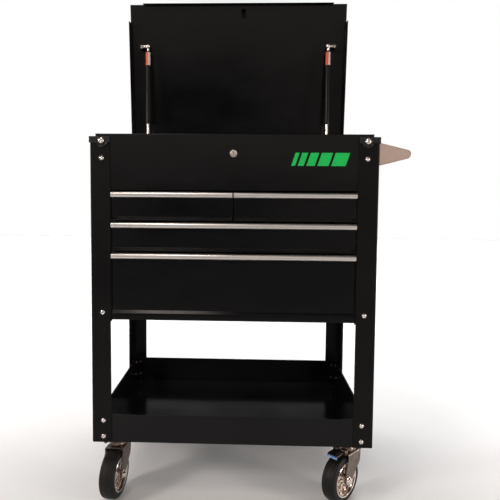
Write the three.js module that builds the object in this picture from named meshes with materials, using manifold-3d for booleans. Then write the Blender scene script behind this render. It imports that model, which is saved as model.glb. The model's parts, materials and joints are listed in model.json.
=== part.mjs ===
// Rolling tool chest: a four-drawer steel cabinet with a hinged lid, carried by four angle legs
// over a lower tray, on four swivel casters, with a push handle on its right-hand end.
// Millimetres. While it is built, x = 0 is midway between the legs, y = 0 is the legs' front
// face, +y runs to the rear and z = 0 is the floor. The lid stands open, as the joints' zero.
import * as THREE from 'three';
import { mergeVertices } from 'three/addons/utils/BufferGeometryUtils.js';
import Module from 'manifold-3d';

const wasm = await Module();
wasm.setup();

// ---------------------------------------------------------------- driving dimensions
const GAP = 0.3; // between pieces that touch
const SHEET = 1.2; // gauge of the folded panels

const CASTER_HEIGHT = 160; // floor to the underside of the tray
const LEG_SPAN_X = 730; // outer face to outer face of the legs
const LEG_SPAN_Y = 480;
const LEG_LENGTH = 795;
const LEG_FLANGE = 50.8;
const LEG_GAUGE = 2.5;

const BOX_WIDTH = 702; // cabinet and tray
const BOX_FRONT = LEG_GAUGE + GAP;
const BOX_REAR = LEG_SPAN_Y - LEG_GAUGE - GAP;
const BOX_BOTTOM = CASTER_HEIGHT + 322;
const BOX_TOP = CASTER_HEIGHT + 804;
const WELL_FLOOR = CASTER_HEIGHT + 664; // floor of the top compartment
const TRAY_WALL = 74;

const STILE_INNER = 311; // half width of the opening that holds the drawers
const FRONT_HALF = 309; // half width of a full drawer front
const FRONT_FACE = 0.4; // y of the drawer fronts
const DRAWER_DEPTH = 430;
const SLIDE_ROOM = 14.8; // from a drawer's box to the edge of its front
const DRAWER_GAP = 3.6; // between the two half-width drawers
const PULL_HEIGHT = 14.8;

const HINGE_Y = 472; // lid hinge axis
const HINGE_Z = BOX_TOP - 1;
const LID_OPEN = THREE.MathUtils.degToRad(84);
const LID_WIDTH = 710;
const LID_FRONT = 471.2; // hinge axis to the front of the lid
const LID_SKIRT = 31.5; // depth of its side flanges
const KNUCKLE_RADIUS = 3.6;

const STRUT_X = 294; // gas struts' distance from the centre line
const STRUT_ON_LID = [-335, -23]; // ball on the closed lid, from the hinge axis
const STRUT_ON_BOX = [-60, -100]; // ball inside the box, from the hinge axis
const CYLINDER_LENGTH = 235;
const CYLINDER_RADIUS = 7.5;
const ROD_RADIUS = 4;

const SWIVEL_X = 310; // caster swivel axes
const SWIVEL_INSET = 55;
const CASTER_TRAIL = 30;
const WHEEL_RADIUS = 63.5;
const WHEEL_WIDTH = 42.5;
const FORK_WIDTH = 52;
const FORK_TOP = CASTER_HEIGHT - 27.5;
const FORK_GAUGE = 3;

const HANDLE_REACH = 67; // handle tube axis, out from the leg's side
const HANDLE_Z = CASTER_HEIGHT + 755;
const HANDLE_TUBE_RADIUS = 11;

// Row tops and bottoms of the drawer fronts, top to bottom, and the height of their slides.
const ROWS = {
  upper: { top: CASTER_HEIGHT + 657.2, bottom: CASTER_HEIGHT + 584, slide: CASTER_HEIGHT + 615 },
  middle: { top: CASTER_HEIGHT + 579.6, bottom: CASTER_HEIGHT + 505.6, slide: CASTER_HEIGHT + 537 },
  lower: { top: CASTER_HEIGHT + 500.8, bottom: CASTER_HEIGHT + 343.4, slide: CASTER_HEIGHT + 415 },
};

// ---------------------------------------------------------------- materials
function finish(color, roughness, metalness) {
  return new THREE.MeshStandardMaterial({ color, roughness, metalness });
}

const GLOSS_BLACK = finish(0x0b0b0c, 0.15, 0.0);
const POWDER_BLACK = finish(0x17181a, 0.5, 0.0);
const BLACK_PLASTIC = finish(0x101010, 0.4, 0.0);
const ALUMINIUM = finish(0xd6d4cf, 0.28, 1.0);
const ZINC = finish(0xb8ada0, 0.35, 1.0);
const CHROME = finish(0xe4e2de, 0.12, 1.0);
const RUBBER = finish(0x1b1b1c, 0.7, 0.0);

// ---------------------------------------------------------------- solids
function toSolid(geometry) {
  const bare = geometry.clone();
  bare.deleteAttribute('normal');
  bare.deleteAttribute('uv');
  const merged = mergeVertices(bare, 1e-4);
  return new wasm.Manifold(new wasm.Mesh({
    numProp: 3,
    vertProperties: new Float32Array(merged.attributes.position.array),
    triVerts: new Uint32Array(merged.index.array),
  }));
}

function toGeometry(solid) {
  const mesh = solid.getMesh();
  const geometry = new THREE.BufferGeometry();
  geometry.setAttribute('position', new THREE.BufferAttribute(new Float32Array(mesh.vertProperties), 3));
  geometry.setIndex(new THREE.BufferAttribute(new Uint32Array(mesh.triVerts), 1));
  geometry.computeVertexNormals();
  return geometry;
}

function join(...geometries) {
  return toGeometry(geometries.map(toSolid).reduce((whole, piece) => whole.add(piece)));
}

function cut(geometry, ...tools) {
  return toGeometry(tools.map(toSolid).reduce((whole, tool) => whole.subtract(tool), toSolid(geometry)));
}

function slab([x0, x1], [y0, y1], [z0, z1]) {
  const geometry = new THREE.BoxGeometry(Math.abs(x1 - x0), Math.abs(y1 - y0), Math.abs(z1 - z0));
  return geometry.translate((x0 + x1) / 2, (y0 + y1) / 2, (z0 + z1) / 2);
}

function outline(points) {
  return new THREE.Shape(points.map(([u, v]) => new THREE.Vector2(u, v)));
}

function arc(centreU, centreV, radius, fromDegrees, toDegrees, steps) {
  return Array.from({ length: steps + 1 }, (_, index) => {
    const angle = THREE.MathUtils.degToRad(fromDegrees + ((toDegrees - fromDegrees) * index) / steps);
    return [centreU + radius * Math.cos(angle), centreV + radius * Math.sin(angle)];
  });
}

// A section drawn in (x, y), raised along z.
function extrudeUp(shape, z0, z1) {
  const geometry = new THREE.ExtrudeGeometry(shape, { depth: z1 - z0, bevelEnabled: false });
  return geometry.translate(0, 0, z0);
}

// A section drawn in (y, z), swept along x.
function extrudeAcross(shape, x0, x1) {
  const geometry = new THREE.ExtrudeGeometry(shape, { depth: x1 - x0, bevelEnabled: false });
  return geometry.rotateZ(Math.PI / 2).rotateY(Math.PI / 2).translate(x0, 0, 0);
}

// A section drawn in (x, z), swept along y.
function extrudeDeep(shape, y0, y1) {
  const geometry = new THREE.ExtrudeGeometry(shape, { depth: y1 - y0, bevelEnabled: false });
  return geometry.rotateX(Math.PI / 2).translate(0, y1, 0);
}

function rodAlongX(radius, x0, x1, y, z, sides = 16) {
  const geometry = new THREE.CylinderGeometry(radius, radius, x1 - x0, sides);
  return geometry.rotateZ(Math.PI / 2).translate((x0 + x1) / 2, y, z);
}

function rodAlongY(radius, y0, y1, x, z, sides = 20) {
  const geometry = new THREE.CylinderGeometry(radius, radius, y1 - y0, sides);
  return geometry.translate(x, (y0 + y1) / 2, z);
}

// A section drawn in (radius, height), turned about z.
function turned(points, sides) {
  const profile = points.map(([radius, height]) => new THREE.Vector2(radius, height));
  return new THREE.LatheGeometry(profile, sides).rotateX(Math.PI / 2);
}

const sideName = (side) => (side < 0 ? 'left' : 'right');
const endName = (isRear) => (isRear ? 'rear' : 'front');

const chest = new THREE.Group();

function addPiece(parent, name, geometry, material) {
  const mesh = new THREE.Mesh(geometry, material);
  mesh.name = name;
  parent.add(mesh);
  return mesh;
}

// ---------------------------------------------------------------- legs and corner caps
// Angle legs, flanges facing forwards or backwards and to the side, with a rounded heel.
function addLegs() {
  const heel = 4;
  const section = outline([
    [LEG_FLANGE, 0],
    [LEG_FLANGE, LEG_GAUGE],
    [LEG_GAUGE + 1.5, LEG_GAUGE],
    [LEG_GAUGE, LEG_GAUGE + 1.5],
    [LEG_GAUGE, LEG_FLANGE],
    [0, LEG_FLANGE],
    ...arc(heel, heel, heel, 180, 270, 4),
  ]);
  const turns = { front_left: 0, front_right: 1, rear_right: 2, rear_left: 3 };
  for (const [corner, quarterTurns] of Object.entries(turns)) {
    const isRight = corner.endsWith('right');
    const isRear = corner.startsWith('rear');
    const leg = extrudeUp(section, CASTER_HEIGHT, CASTER_HEIGHT + LEG_LENGTH);
    leg.rotateZ((quarterTurns * Math.PI) / 2);
    leg.translate(((isRight ? 1 : -1) * LEG_SPAN_X) / 2, isRear ? LEG_SPAN_Y : 0, 0);
    addPiece(chest, `leg_${corner}`, leg, POWDER_BLACK);
  }
}

// Moulded cap over a front leg's top, with a round tab that the top bolt holds.
function addCornerCaps() {
  const wall = 1.5;
  const legTop = CASTER_HEIGHT + LEG_LENGTH;
  const lower = legTop - 13;
  const tabX = LEG_SPAN_X / 2 - 30;
  for (const side of [-1, 1]) {
    const outer = side * (LEG_SPAN_X / 2 + GAP + wall);
    const legSide = side * (LEG_SPAN_X / 2 + GAP);
    const inner = side * (BOX_WIDTH / 2 + GAP);
    const armEnd = side * (LEG_SPAN_X / 2 - LEG_FLANGE);
    const cap = join(
      slab([outer, armEnd], [-wall - GAP, -GAP], [lower, legTop + GAP + wall]),
      slab([outer, legSide], [-wall - GAP, LEG_FLANGE], [lower, legTop + GAP + wall]),
      slab([outer, armEnd], [-wall - GAP, LEG_GAUGE - GAP], [legTop + GAP, legTop + GAP + wall]),
      slab([outer, inner], [-wall - GAP, LEG_FLANGE], [legTop + GAP, legTop + GAP + wall]),
      rodAlongY(13, -wall - GAP, -GAP, side * tabX, legTop - 12, 16),
    );
    addPiece(chest, `corner_cap_${sideName(side)}`, cap, BLACK_PLASTIC);
  }
}

// ---------------------------------------------------------------- lower tray
function addTray() {
  const half = BOX_WIDTH / 2;
  const wall = SHEET + 0.3;
  const top = CASTER_HEIGHT + TRAY_WALL;
  const hem = 3;
  const tray = cut(
    slab([-half, half], [BOX_FRONT, BOX_REAR], [CASTER_HEIGHT, top]),
    slab([-half + wall, half - wall], [BOX_FRONT + wall, BOX_REAR - wall], [CASTER_HEIGHT + wall, top - 9]),
    slab([-half + hem, half - hem], [BOX_FRONT + hem, BOX_REAR - hem], [CASTER_HEIGHT + wall, top + 1]),
  );
  addPiece(chest, 'lower_tray', tray, GLOSS_BLACK);
}

// ---------------------------------------------------------------- cabinet shell
function addCabinetShell() {
  const half = BOX_WIDTH / 2;
  const inside = half - SHEET - GAP;
  const backOuter = BOX_REAR - 0.1;
  const backInner = backOuter - SHEET;
  for (const side of [-1, 1]) {
    const outer = side * half;
    const face = side * (half - SHEET);
    const panel = join(
      slab([outer, face], [BOX_FRONT, BOX_REAR], [BOX_BOTTOM, BOX_TOP]),
      slab([outer, side * STILE_INNER], [BOX_FRONT, BOX_FRONT + SHEET], [BOX_BOTTOM, WELL_FLOOR - 3]),
      slab([outer, side * (half - 10)], [BOX_FRONT + SHEET + GAP, BOX_REAR], [BOX_TOP - SHEET, BOX_TOP]),
    );
    addPiece(chest, `cabinet_side_${sideName(side)}`, panel, GLOSS_BLACK);
  }

  const backSection = outline([
    [-inside, backInner - 12],
    [-inside, backOuter],
    [inside, backOuter],
    [inside, backInner - 12],
    [inside - SHEET, backInner - 12],
    [inside - SHEET, backInner],
    [-inside + SHEET, backInner],
    [-inside + SHEET, backInner - 12],
  ].reverse());
  const back = extrudeUp(backSection, BOX_BOTTOM + 4, BOX_TOP - 6);
  addPiece(chest, 'cabinet_back', back, GLOSS_BLACK);

  const plateFront = BOX_FRONT + SHEET + GAP;
  const plateRear = backInner - GAP;
  const plateHalf = inside - SHEET - GAP;
  const rail = STILE_INNER - GAP;
  const floorZ = BOX_BOTTOM + 4;
  const floor = join(
    slab([-plateHalf, plateHalf], [plateFront, plateRear], [floorZ, floorZ + SHEET]),
    slab([-rail, rail], [BOX_FRONT, plateFront + 2], [floorZ, floorZ + SHEET]),
    slab([-rail, rail], [BOX_FRONT, BOX_FRONT + SHEET], [floorZ, ROWS.lower.bottom - 2.4]),
  );
  addPiece(chest, 'cabinet_floor', floor, GLOSS_BLACK);

  const wellFloor = slab([-plateHalf, plateHalf], [plateFront, plateRear], [WELL_FLOOR, WELL_FLOOR + SHEET]);
  addPiece(chest, 'well_floor', wellFloor, GLOSS_BLACK);
}

// Front of the top compartment, hemmed along its top, with a hole for the lock.
const LOCK_Z = CASTER_HEIGHT + 754.7;

function addFrontPanel() {
  const half = BOX_WIDTH / 2 - SHEET - GAP;
  const foot = WELL_FLOOR - 2;
  const panel = cut(
    join(
      slab([-half, half], [BOX_FRONT, BOX_FRONT + SHEET], [foot, BOX_TOP - GAP]),
      slab([10 - half, half - 10], [BOX_FRONT, BOX_FRONT + 14], [foot, foot + SHEET]),
      slab([10 - half, half - 10], [BOX_FRONT, BOX_FRONT + 10], [BOX_TOP - GAP - SHEET, BOX_TOP - GAP]),
      slab([10 - half, half - 10], [BOX_FRONT + 10 - SHEET, BOX_FRONT + 10], [BOX_TOP - 9, BOX_TOP - GAP]),
    ),
    rodAlongY(8.4, 0, 8, 0, LOCK_Z, 24),
  );
  addPiece(chest, 'front_panel', panel, GLOSS_BLACK);
}

// ---------------------------------------------------------------- lock
function addLock() {
  const bezelFront = BOX_FRONT - 2.4;
  const barrelEnd = BOX_FRONT + 17;
  const housing = cut(
    join(
      rodAlongY(9.6, bezelFront, BOX_FRONT - GAP, 0, LOCK_Z, 24),
      rodAlongY(8, bezelFront, barrelEnd, 0, LOCK_Z, 24),
    ),
    rodAlongY(6.2, bezelFront - 1, barrelEnd + 1, 0, LOCK_Z, 24),
  );
  addPiece(chest, 'lock_housing', housing, CHROME);

  const tongueReach = 28;
  const plug = cut(
    join(
      rodAlongY(5.8, bezelFront + 0.4, barrelEnd + 0.4, 0, LOCK_Z, 24),
      slab([-6, 6], [barrelEnd + 0.4, barrelEnd + 2.4], [LOCK_Z - tongueReach, LOCK_Z + 6]),
    ),
    slab([-0.8, 0.8], [bezelFront, bezelFront + 3], [LOCK_Z - 3.5, LOCK_Z + 3.5]),
  );
  addPiece(chest, 'lock_plug', plug, CHROME);
}

// ---------------------------------------------------------------- drawer slides
// The fixed half of a slide, a C-section open towards the drawer, as points (x, z) from its top
// down. It stands on the face at x, and towards is the direction of the drawer.
function slideSection(x, towards, z) {
  const lip = x + towards * 9;
  const back = x + towards * 2;
  const half = 17.5;
  return [
    [x, z + half],
    [lip, z + half],
    [lip, z + half - 2],
    [back, z + half - 2],
    [back, z - half + 2],
    [lip, z - half + 2],
    [lip, z - half],
    [x, z - half],
  ];
}

function addSlideRacks() {
  const plate = FRONT_HALF + 1.5;
  const web = plate + SHEET;
  const wallSide = BOX_WIDTH / 2 - SHEET - GAP;
  const front = 20;
  const rear = 440;
  const channel = [
    [plate, front],
    [wallSide, front],
    [wallSide, front + SHEET],
    [web, front + SHEET],
    [web, rear - SHEET],
    [wallSide, rear - SHEET],
    [wallSide, rear],
    [plate, rear],
  ];
  const root = plate + SHEET / 2;
  for (const side of [-1, 1]) {
    const mirrored = (points) => points.map(([u, v]) => [side * u, v]);
    const rails = Object.values(ROWS).map((row) => {
      const section = mirrored(slideSection(root, -1, row.slide));
      return extrudeDeep(outline(section), front + 2, rear - 2);
    });
    const rack = join(extrudeUp(outline(mirrored(channel)), BOX_BOTTOM + 8, WELL_FLOOR - 4), ...rails);
    addPiece(chest, `slide_rack_${sideName(side)}`, rack, ZINC);
  }
}

// Upright between the half-width drawers, hung from the floor above and carrying their slides.
function addDrawerDivider() {
  const half = 1.5;
  const flange = 18;
  const top = WELL_FLOOR - GAP;
  const foot = ROWS.upper.bottom + 2;
  const rightSide = slideSection(half, 1, ROWS.upper.slide);
  const leftSide = rightSide.map(([x, z]) => [-x, z]).reverse();
  const section = outline([
    [flange, top],
    [flange, top - SHEET],
    [half, top - SHEET],
    ...rightSide,
    [half, foot],
    [-half, foot],
    ...leftSide,
    [-half, top - SHEET],
    [-flange, top - SHEET],
    [-flange, top],
  ]);
  addPiece(chest, 'drawer_divider', extrudeDeep(section, 18, 440), ZINC);
}

// ---------------------------------------------------------------- drawers and pulls
// Folded front with a lower lip that slants outwards, in (y, z).
function frontSection(row) {
  const face = FRONT_FACE;
  const rear = face + SHEET;
  const lip = row.bottom;
  return outline([
    [face, row.top - 2.1],
    [face, lip + 9],
    [face - 6.4, lip + 2],
    [face - 6.4, lip],
    [face + 9.6, lip],
    [face + 9.6, lip + SHEET],
    [face - 5.2, lip + SHEET],
    [face - 5.2, lip + 1.5],
    [rear, lip + 8.5],
    [rear, row.top - 2.1],
  ]);
}

function drawerBox(row, x0, x1, railsAt) {
  const rear = FRONT_FACE + SHEET;
  const floor = row.bottom + 7;
  const rim = row.top - 9;
  const slideHalf = 13;
  const shell = cut(
    slab([x0, x1], [rear - 0.5, DRAWER_DEPTH], [floor, rim]),
    slab([x0 + SHEET, x1 - SHEET], [rear + SHEET, DRAWER_DEPTH - SHEET], [floor + SHEET, rim + 1]),
  );
  const rails = railsAt.map(([wallX, towards]) =>
    slab([wallX - towards * 0.5, wallX + towards * 9], [20, DRAWER_DEPTH], [row.slide - slideHalf, row.slide + slideHalf]));
  return [shell, ...rails];
}

// Rounded aluminium rail along the top of a drawer front, open underneath for the fingers.
function pullSection(top) {
  const radius = PULL_HEIGHT / 2;
  const gauge = 1.8;
  const noseY = -9.4;
  const noseZ = top - radius;
  return outline([
    [2.4, top],
    ...arc(noseY, noseZ, radius, 90, 270, 8),
    [noseY + 2, top - PULL_HEIGHT],
    [noseY + 2, top - PULL_HEIGHT + gauge],
    ...arc(noseY, noseZ, radius - gauge, 270, 90, 6),
    [-1.8, top - gauge],
    [-1.8, top - 14],
    [FRONT_FACE - GAP, top - 14],
    [FRONT_FACE - GAP, top - gauge],
    [2.4, top - gauge],
  ]);
}

function addDrawers() {
  const centreBox = 1.5 + 11 + 1.8;
  const edge = DRAWER_GAP / 2;
  const boxHalf = FRONT_HALF - SLIDE_ROOM;
  const drawers = [
    { name: 'upper_left', row: ROWS.upper, x: [-FRONT_HALF, -edge], box: [-boxHalf, -centreBox] },
    { name: 'upper_right', row: ROWS.upper, x: [edge, FRONT_HALF], box: [centreBox, boxHalf] },
    { name: 'middle', row: ROWS.middle, x: [-FRONT_HALF, FRONT_HALF], box: [-boxHalf, boxHalf] },
    { name: 'lower', row: ROWS.lower, x: [-FRONT_HALF, FRONT_HALF], box: [-boxHalf, boxHalf] },
  ];
  for (const { name, row, x, box } of drawers) {
    const front = extrudeAcross(frontSection(row), x[0], x[1]);
    const drawer = join(front, ...drawerBox(row, box[0], box[1], [[box[0], -1], [box[1], 1]]));
    addPiece(chest, `drawer_${name}`, drawer, GLOSS_BLACK);
    addPiece(chest, `pull_${name}`, extrudeAcross(pullSection(row.top), x[0], x[1]), ALUMINIUM);
  }
}

// ---------------------------------------------------------------- lid and hinge
// Leaf and knuckles of the piano hinge. The leaf lies along -y in its own frame, below the
// top of the knuckles, and the knuckles it owns are the odd or the even ones.
const HINGE_LENGTH = 640;
const KNUCKLES = 9;

function hingeLeaf(reach, isOdd) {
  const pitch = HINGE_LENGTH / KNUCKLES;
  const leafTop = KNUCKLE_RADIUS;
  const leafBottom = KNUCKLE_RADIUS - SHEET;
  const clear = KNUCKLE_RADIUS + 0.6;
  const half = HINGE_LENGTH / 2;
  const pieces = [slab([-half, half], [-reach, -clear], [leafBottom, leafTop])];
  const bores = [];
  for (let index = isOdd ? 1 : 0; index < KNUCKLES; index += 2) {
    const x0 = -half + index * pitch + GAP;
    const x1 = x0 + pitch - 2 * GAP;
    pieces.push(slab([x0, x1], [-clear - 0.5, 0], [leafBottom, leafTop]));
    pieces.push(rodAlongX(KNUCKLE_RADIUS, x0, x1, 0, 0, 12));
    bores.push(rodAlongX(2.4, x0 - 1, x1 + 1, 0, 0, 12));
  }
  return cut(join(...pieces), ...bores);
}

function addHinge(lid) {
  const fixedLeaf = hingeLeaf(38, false);
  fixedLeaf.rotateX(-Math.PI / 2).rotateZ(Math.PI).rotateY(Math.PI);
  const leafIsBehind = new THREE.Group();
  leafIsBehind.position.set(0, HINGE_Y, HINGE_Z);
  chest.add(leafIsBehind);
  addPiece(leafIsBehind, 'hinge_fixed_leaf', fixedLeaf, ZINC);
  const half = HINGE_LENGTH / 2;
  addPiece(chest, 'hinge_pin', rodAlongX(2, -half - 1, half + 1, HINGE_Y, HINGE_Z, 12), ZINC);
  addPiece(lid, 'hinge_lid_leaf', hingeLeaf(30, true), ZINC);
}

// The closed lid, seen from its hinge axis: -y runs forwards, and its underside faces -z.
function addLidPanel(lid) {
  const half = LID_WIDTH / 2;
  const under = KNUCKLE_RADIUS + GAP;
  const over = under + SHEET;
  const skirtFrom = -LID_FRONT + 57;
  const skirtTo = -52;
  const skirt = [over - LID_SKIRT, over];
  const frontHalf = LEG_SPAN_X / 2 - LEG_FLANGE - 4;
  const panel = join(
    slab([-half, half], [-LID_FRONT, -KNUCKLE_RADIUS - 1], [under, over]),
    slab([-half, -half + SHEET], [skirtFrom, skirtTo], skirt),
    slab([half - SHEET, half], [skirtFrom, skirtTo], skirt),
    slab([-frontHalf, frontHalf], [-LID_FRONT, -LID_FRONT + SHEET], [over - 20, over]),
  );
  addPiece(lid, 'lid', panel, GLOSS_BLACK);
}

// Hook that hangs behind the lock's tongue when the lid is shut.
function addLatchCatch(lid) {
  const faceY = -(HINGE_Y - BOX_FRONT - 23);
  const seat = KNUCKLE_RADIUS;
  const hook = cut(
    join(
      slab([12, 26], [faceY, faceY + 2], [seat - 58, seat]),
      slab([12, 26], [faceY, faceY + 18], [seat - 2, seat]),
    ),
    slab([11, 20], [faceY - 1, faceY + 3], [seat - 52, seat - 42]),
  );
  addPiece(lid, 'latch_catch', hook, ZINC);
}

// ---------------------------------------------------------------- gas struts
// A bracket plate that stands off the panel behind it, with a ball stud towards the centre.
function upperStud(side) {
  const [y, z] = STRUT_ON_LID;
  const plate = side * (STRUT_X + 23.5);
  const seat = KNUCKLE_RADIUS;
  return join(
    slab([plate, plate + side * 2.5], [y - 11, y + 11], [z - 10, seat]),
    slab([plate, plate + side * 20], [y - 14, y + 14], [seat - 2, seat]),
    rodAlongX(7, Math.min(plate - side * 3, plate + side * 6), Math.max(plate - side * 3, plate + side * 6), y, z, 6),
    rodAlongX(4, Math.min(plate, side * (STRUT_X + 7.4)), Math.max(plate, side * (STRUT_X + 7.4)), y, z, 12),
  );
}

function lowerStud(side) {
  const y = HINGE_Y + STRUT_ON_BOX[0];
  const z = HINGE_Z + STRUT_ON_BOX[1];
  const plate = side * (STRUT_X + 23.5);
  const wall = side * (BOX_WIDTH / 2 - SHEET - GAP);
  return join(
    slab([wall - side * 2.5, wall], [y - 20, y + 20], [z - 22, z + 12]),
    slab([plate, wall], [y - 12, y + 12], [z - 22, z - 19]),
    slab([plate, plate + side * 2.5], [y - 12, y + 12], [z - 22, z + 10]),
    rodAlongX(4, Math.min(plate, side * (STRUT_X + 7.4)), Math.max(plate, side * (STRUT_X + 7.4)), y, z, 12),
  );
}

// Strut pieces are drawn hanging down -z from the ball on the lid.
const NECK = 17;

function strutCylinder() {
  const top = -NECK;
  const bottom = -NECK - CYLINDER_LENGTH;
  const bore = CYLINDER_RADIUS - 1.3;
  const gland = ROD_RADIUS + 0.4;
  const body = turned([
    [0, top + 4],
    [5, top + 4],
    [5, top],
    [CYLINDER_RADIUS, top - 1.5],
    [CYLINDER_RADIUS, bottom + 1.5],
    [CYLINDER_RADIUS - 1.5, bottom],
    [gland, bottom],
    [gland, bottom + 6],
    [bore, bottom + 6],
    [bore, top - 12],
    [0, top - 12],
  ].reverse(), 16);
  return join(body, rodAlongX(7, -7, 7, 0, 0, 12), slab([-4.5, 4.5], [-4.5, 4.5], [top + 1, 0]));
}

function strutRod(length) {
  const piston = -NECK - CYLINDER_LENGTH + 52;
  const end = -length;
  const rod = turned([
    [0, piston],
    [CYLINDER_RADIUS - 1.8, piston],
    [CYLINDER_RADIUS - 1.8, piston - 8],
    [ROD_RADIUS, piston - 8],
    [ROD_RADIUS, end],
    [0, end],
  ].reverse(), 12);
  return join(rod, rodAlongX(7, -7, 7, 0, end, 12), slab([-4.5, 4.5], [-4.5, 4.5], [end, end + 14]));
}

function addStruts(lid) {
  const turn = new THREE.Vector2(...STRUT_ON_LID).rotateAround(new THREE.Vector2(), -LID_OPEN);
  const reach = new THREE.Vector2(...STRUT_ON_BOX).sub(turn);
  const lean = Math.atan2(reach.x, -reach.y);
  for (const side of [-1, 1]) {
    addPiece(lid, `strut_upper_stud_${sideName(side)}`, upperStud(side), CHROME);
    addPiece(chest, `strut_lower_stud_${sideName(side)}`, lowerStud(side), ZINC);
    const strut = new THREE.Group();
    strut.position.set(side * STRUT_X, HINGE_Y + turn.x, HINGE_Z + turn.y);
    strut.rotation.x = lean;
    chest.add(strut);
    addPiece(strut, `strut_cylinder_${sideName(side)}`, strutCylinder(), BLACK_PLASTIC);
    addPiece(strut, `strut_rod_${sideName(side)}`, strutRod(reach.length()), CHROME);
  }
}

// ---------------------------------------------------------------- push handle
// Tapered plate that stands out from the leg's side and carries the end of the tube.
function addHandle() {
  const foot = LEG_SPAN_X / 2 + GAP;
  const tipX = LEG_SPAN_X / 2 + HANDLE_REACH;
  const tipRadius = HANDLE_TUBE_RADIUS + 0.4;
  const plateShape = outline([
    [foot, HANDLE_Z + 27],
    [foot, HANDLE_Z - 28],
    [foot + 4, HANDLE_Z - 28],
    ...arc(tipX, HANDLE_Z, tipRadius, -104, 104, 12),
    [foot + 4, HANDLE_Z + 27],
  ]);
  const plateGauge = 3;
  for (const isRear of [false, true]) {
    const plateY = isRear ? LEG_SPAN_Y - 4 - plateGauge : 4;
    const flangeY = isRear ? [plateY - 27, plateY + plateGauge] : [plateY, plateY + plateGauge + 27];
    const bracket = join(
      extrudeDeep(plateShape, plateY, plateY + plateGauge),
      slab([foot, foot + 2.5], flangeY, [HANDLE_Z - 28, HANDLE_Z + 27]),
    );
    addPiece(chest, `handle_bracket_${endName(isRear)}`, bracket, ZINC);
  }
  const y0 = 4 + plateGauge + GAP;
  const y1 = LEG_SPAN_Y - y0;
  const tube = cut(
    rodAlongY(HANDLE_TUBE_RADIUS, y0, y1, tipX, HANDLE_Z, 20),
    rodAlongY(HANDLE_TUBE_RADIUS - 1.8, y0 - 1, y1 + 1, tipX, HANDLE_Z, 16),
  );
  addPiece(chest, 'handle_tube', tube, BLACK_PLASTIC);
}

// ---------------------------------------------------------------- casters
// Caster pieces are drawn about the swivel axis, trailing along -y, with z from the floor.
const KINGPIN_RADIUS = 5;

function casterPlate(spin) {
  const top = CASTER_HEIGHT - GAP;
  const race = turned([
    [0, top - 2.6],
    [24, top - 2.6],
    [26, top - 8],
    [22, FORK_TOP + 12.4],
    [KINGPIN_RADIUS, FORK_TOP + 12.4],
    [KINGPIN_RADIUS, FORK_TOP - FORK_GAUGE - 0.5],
    [8, FORK_TOP - FORK_GAUGE - 0.5],
    [7, FORK_TOP - FORK_GAUGE - 4],
    [0, FORK_TOP - FORK_GAUGE - 4],
  ].reverse(), 20);
  const plate = slab([-32.5, 32.5], [-46, 46], [top - 2.8, top]);
  return join(plate.rotateZ(spin), race);
}

function forkSideShape() {
  return outline([
    [27, FORK_TOP],
    [-31, FORK_TOP],
    [-34, FORK_TOP - 8],
    ...arc(-CASTER_TRAIL, WHEEL_RADIUS, 15, 180, 330, 8),
    [24, FORK_TOP - 34],
    [27, FORK_TOP - 28],
  ]);
}

function casterFork(hasBrake) {
  const half = FORK_WIDTH / 2;
  const bottom = FORK_TOP - FORK_GAUGE;
  const axle = [-CASTER_TRAIL, WHEEL_RADIUS];
  const race = turned([
    [KINGPIN_RADIUS + 0.5, FORK_TOP - 0.5],
    [22, FORK_TOP - 0.5],
    [23.5, FORK_TOP + 7],
    [20, FORK_TOP + 12],
    [KINGPIN_RADIUS + 0.5, FORK_TOP + 12],
    [KINGPIN_RADIUS + 0.5, FORK_TOP - 0.5],
  ], 20);
  const pieces = [
    slab([-half, half], [-31, 27], [bottom, FORK_TOP]),
    extrudeAcross(forkSideShape(), -half, -half + 2.6),
    extrudeAcross(forkSideShape(), half - 2.6, half),
    rodAlongX(6, -half - 6, half + 6, ...axle, 16),
    rodAlongX(9.5, -half - 5, -half + 0.5, ...axle, 6),
    rodAlongX(9.5, half - 0.5, half + 5, ...axle, 6),
  ];
  if (hasBrake) {
    for (const x of [-20, 17]) {
      pieces.push(slab([x, x + 3], [-37, -25.5], [bottom, FORK_TOP + 11]));
    }
  }
  const kingpinHole = new THREE.CylinderGeometry(KINGPIN_RADIUS + 0.5, KINGPIN_RADIUS + 0.5, 10, 20);
  kingpinHole.rotateX(Math.PI / 2).translate(0, 0, FORK_TOP - 1);
  return join(cut(join(...pieces), kingpinHole), race);
}

// Brake lever: a barrel between the fork's ears, a neck, and a ribbed pad over the tyre.
const PEDAL_PIVOT = [-31, FORK_TOP + 6.5];

function brakePedal() {
  const [y, z] = PEDAL_PIVOT;
  const ribs = [0, 1, 2, 3].map((rib) => slab([-14, 14], [-66 + rib * 7, -63 + rib * 7], [z - 1, z + 1.6]));
  return join(
    rodAlongX(4, -16.5, 16.5, y, z, 12),
    slab([-12, 12], [-48, y], [z - 2, z + 2]),
    slab([-15.5, 15.5], [-71, -40], [z - 4.5, z]),
    ...ribs,
  );
}

// Turned about the wheel's own axle, which is drawn along z here.
function tyreShape() {
  const half = WHEEL_WIDTH / 2;
  const bead = 46;
  const shoulder = WHEEL_RADIUS - 4.5;
  return turned([
    [bead, -half + 3],
    [bead + 4, -half],
    [shoulder - 4, -half],
    [shoulder + 1.5, -half + 3],
    [WHEEL_RADIUS, -half + 9],
    [WHEEL_RADIUS, half - 9],
    [shoulder + 1.5, half - 3],
    [shoulder - 4, half],
    [bead + 4, half],
    [bead, half - 3],
    [bead, -half + 3],
  ], 28);
}

function rimShape() {
  const half = WHEEL_WIDTH / 2;
  const seat = 46 - GAP;
  const bore = 6.5;
  return turned([
    [bore, -half],
    [14, -half],
    [16, -6],
    [seat - 6, -6],
    [seat - 4, -half + 1],
    [seat, -half + 3],
    [seat, half - 3],
    [seat - 4, half - 1],
    [seat - 6, 6],
    [16, 6],
    [14, half],
    [bore, half],
    [bore, -half],
  ], 24);
}

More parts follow.
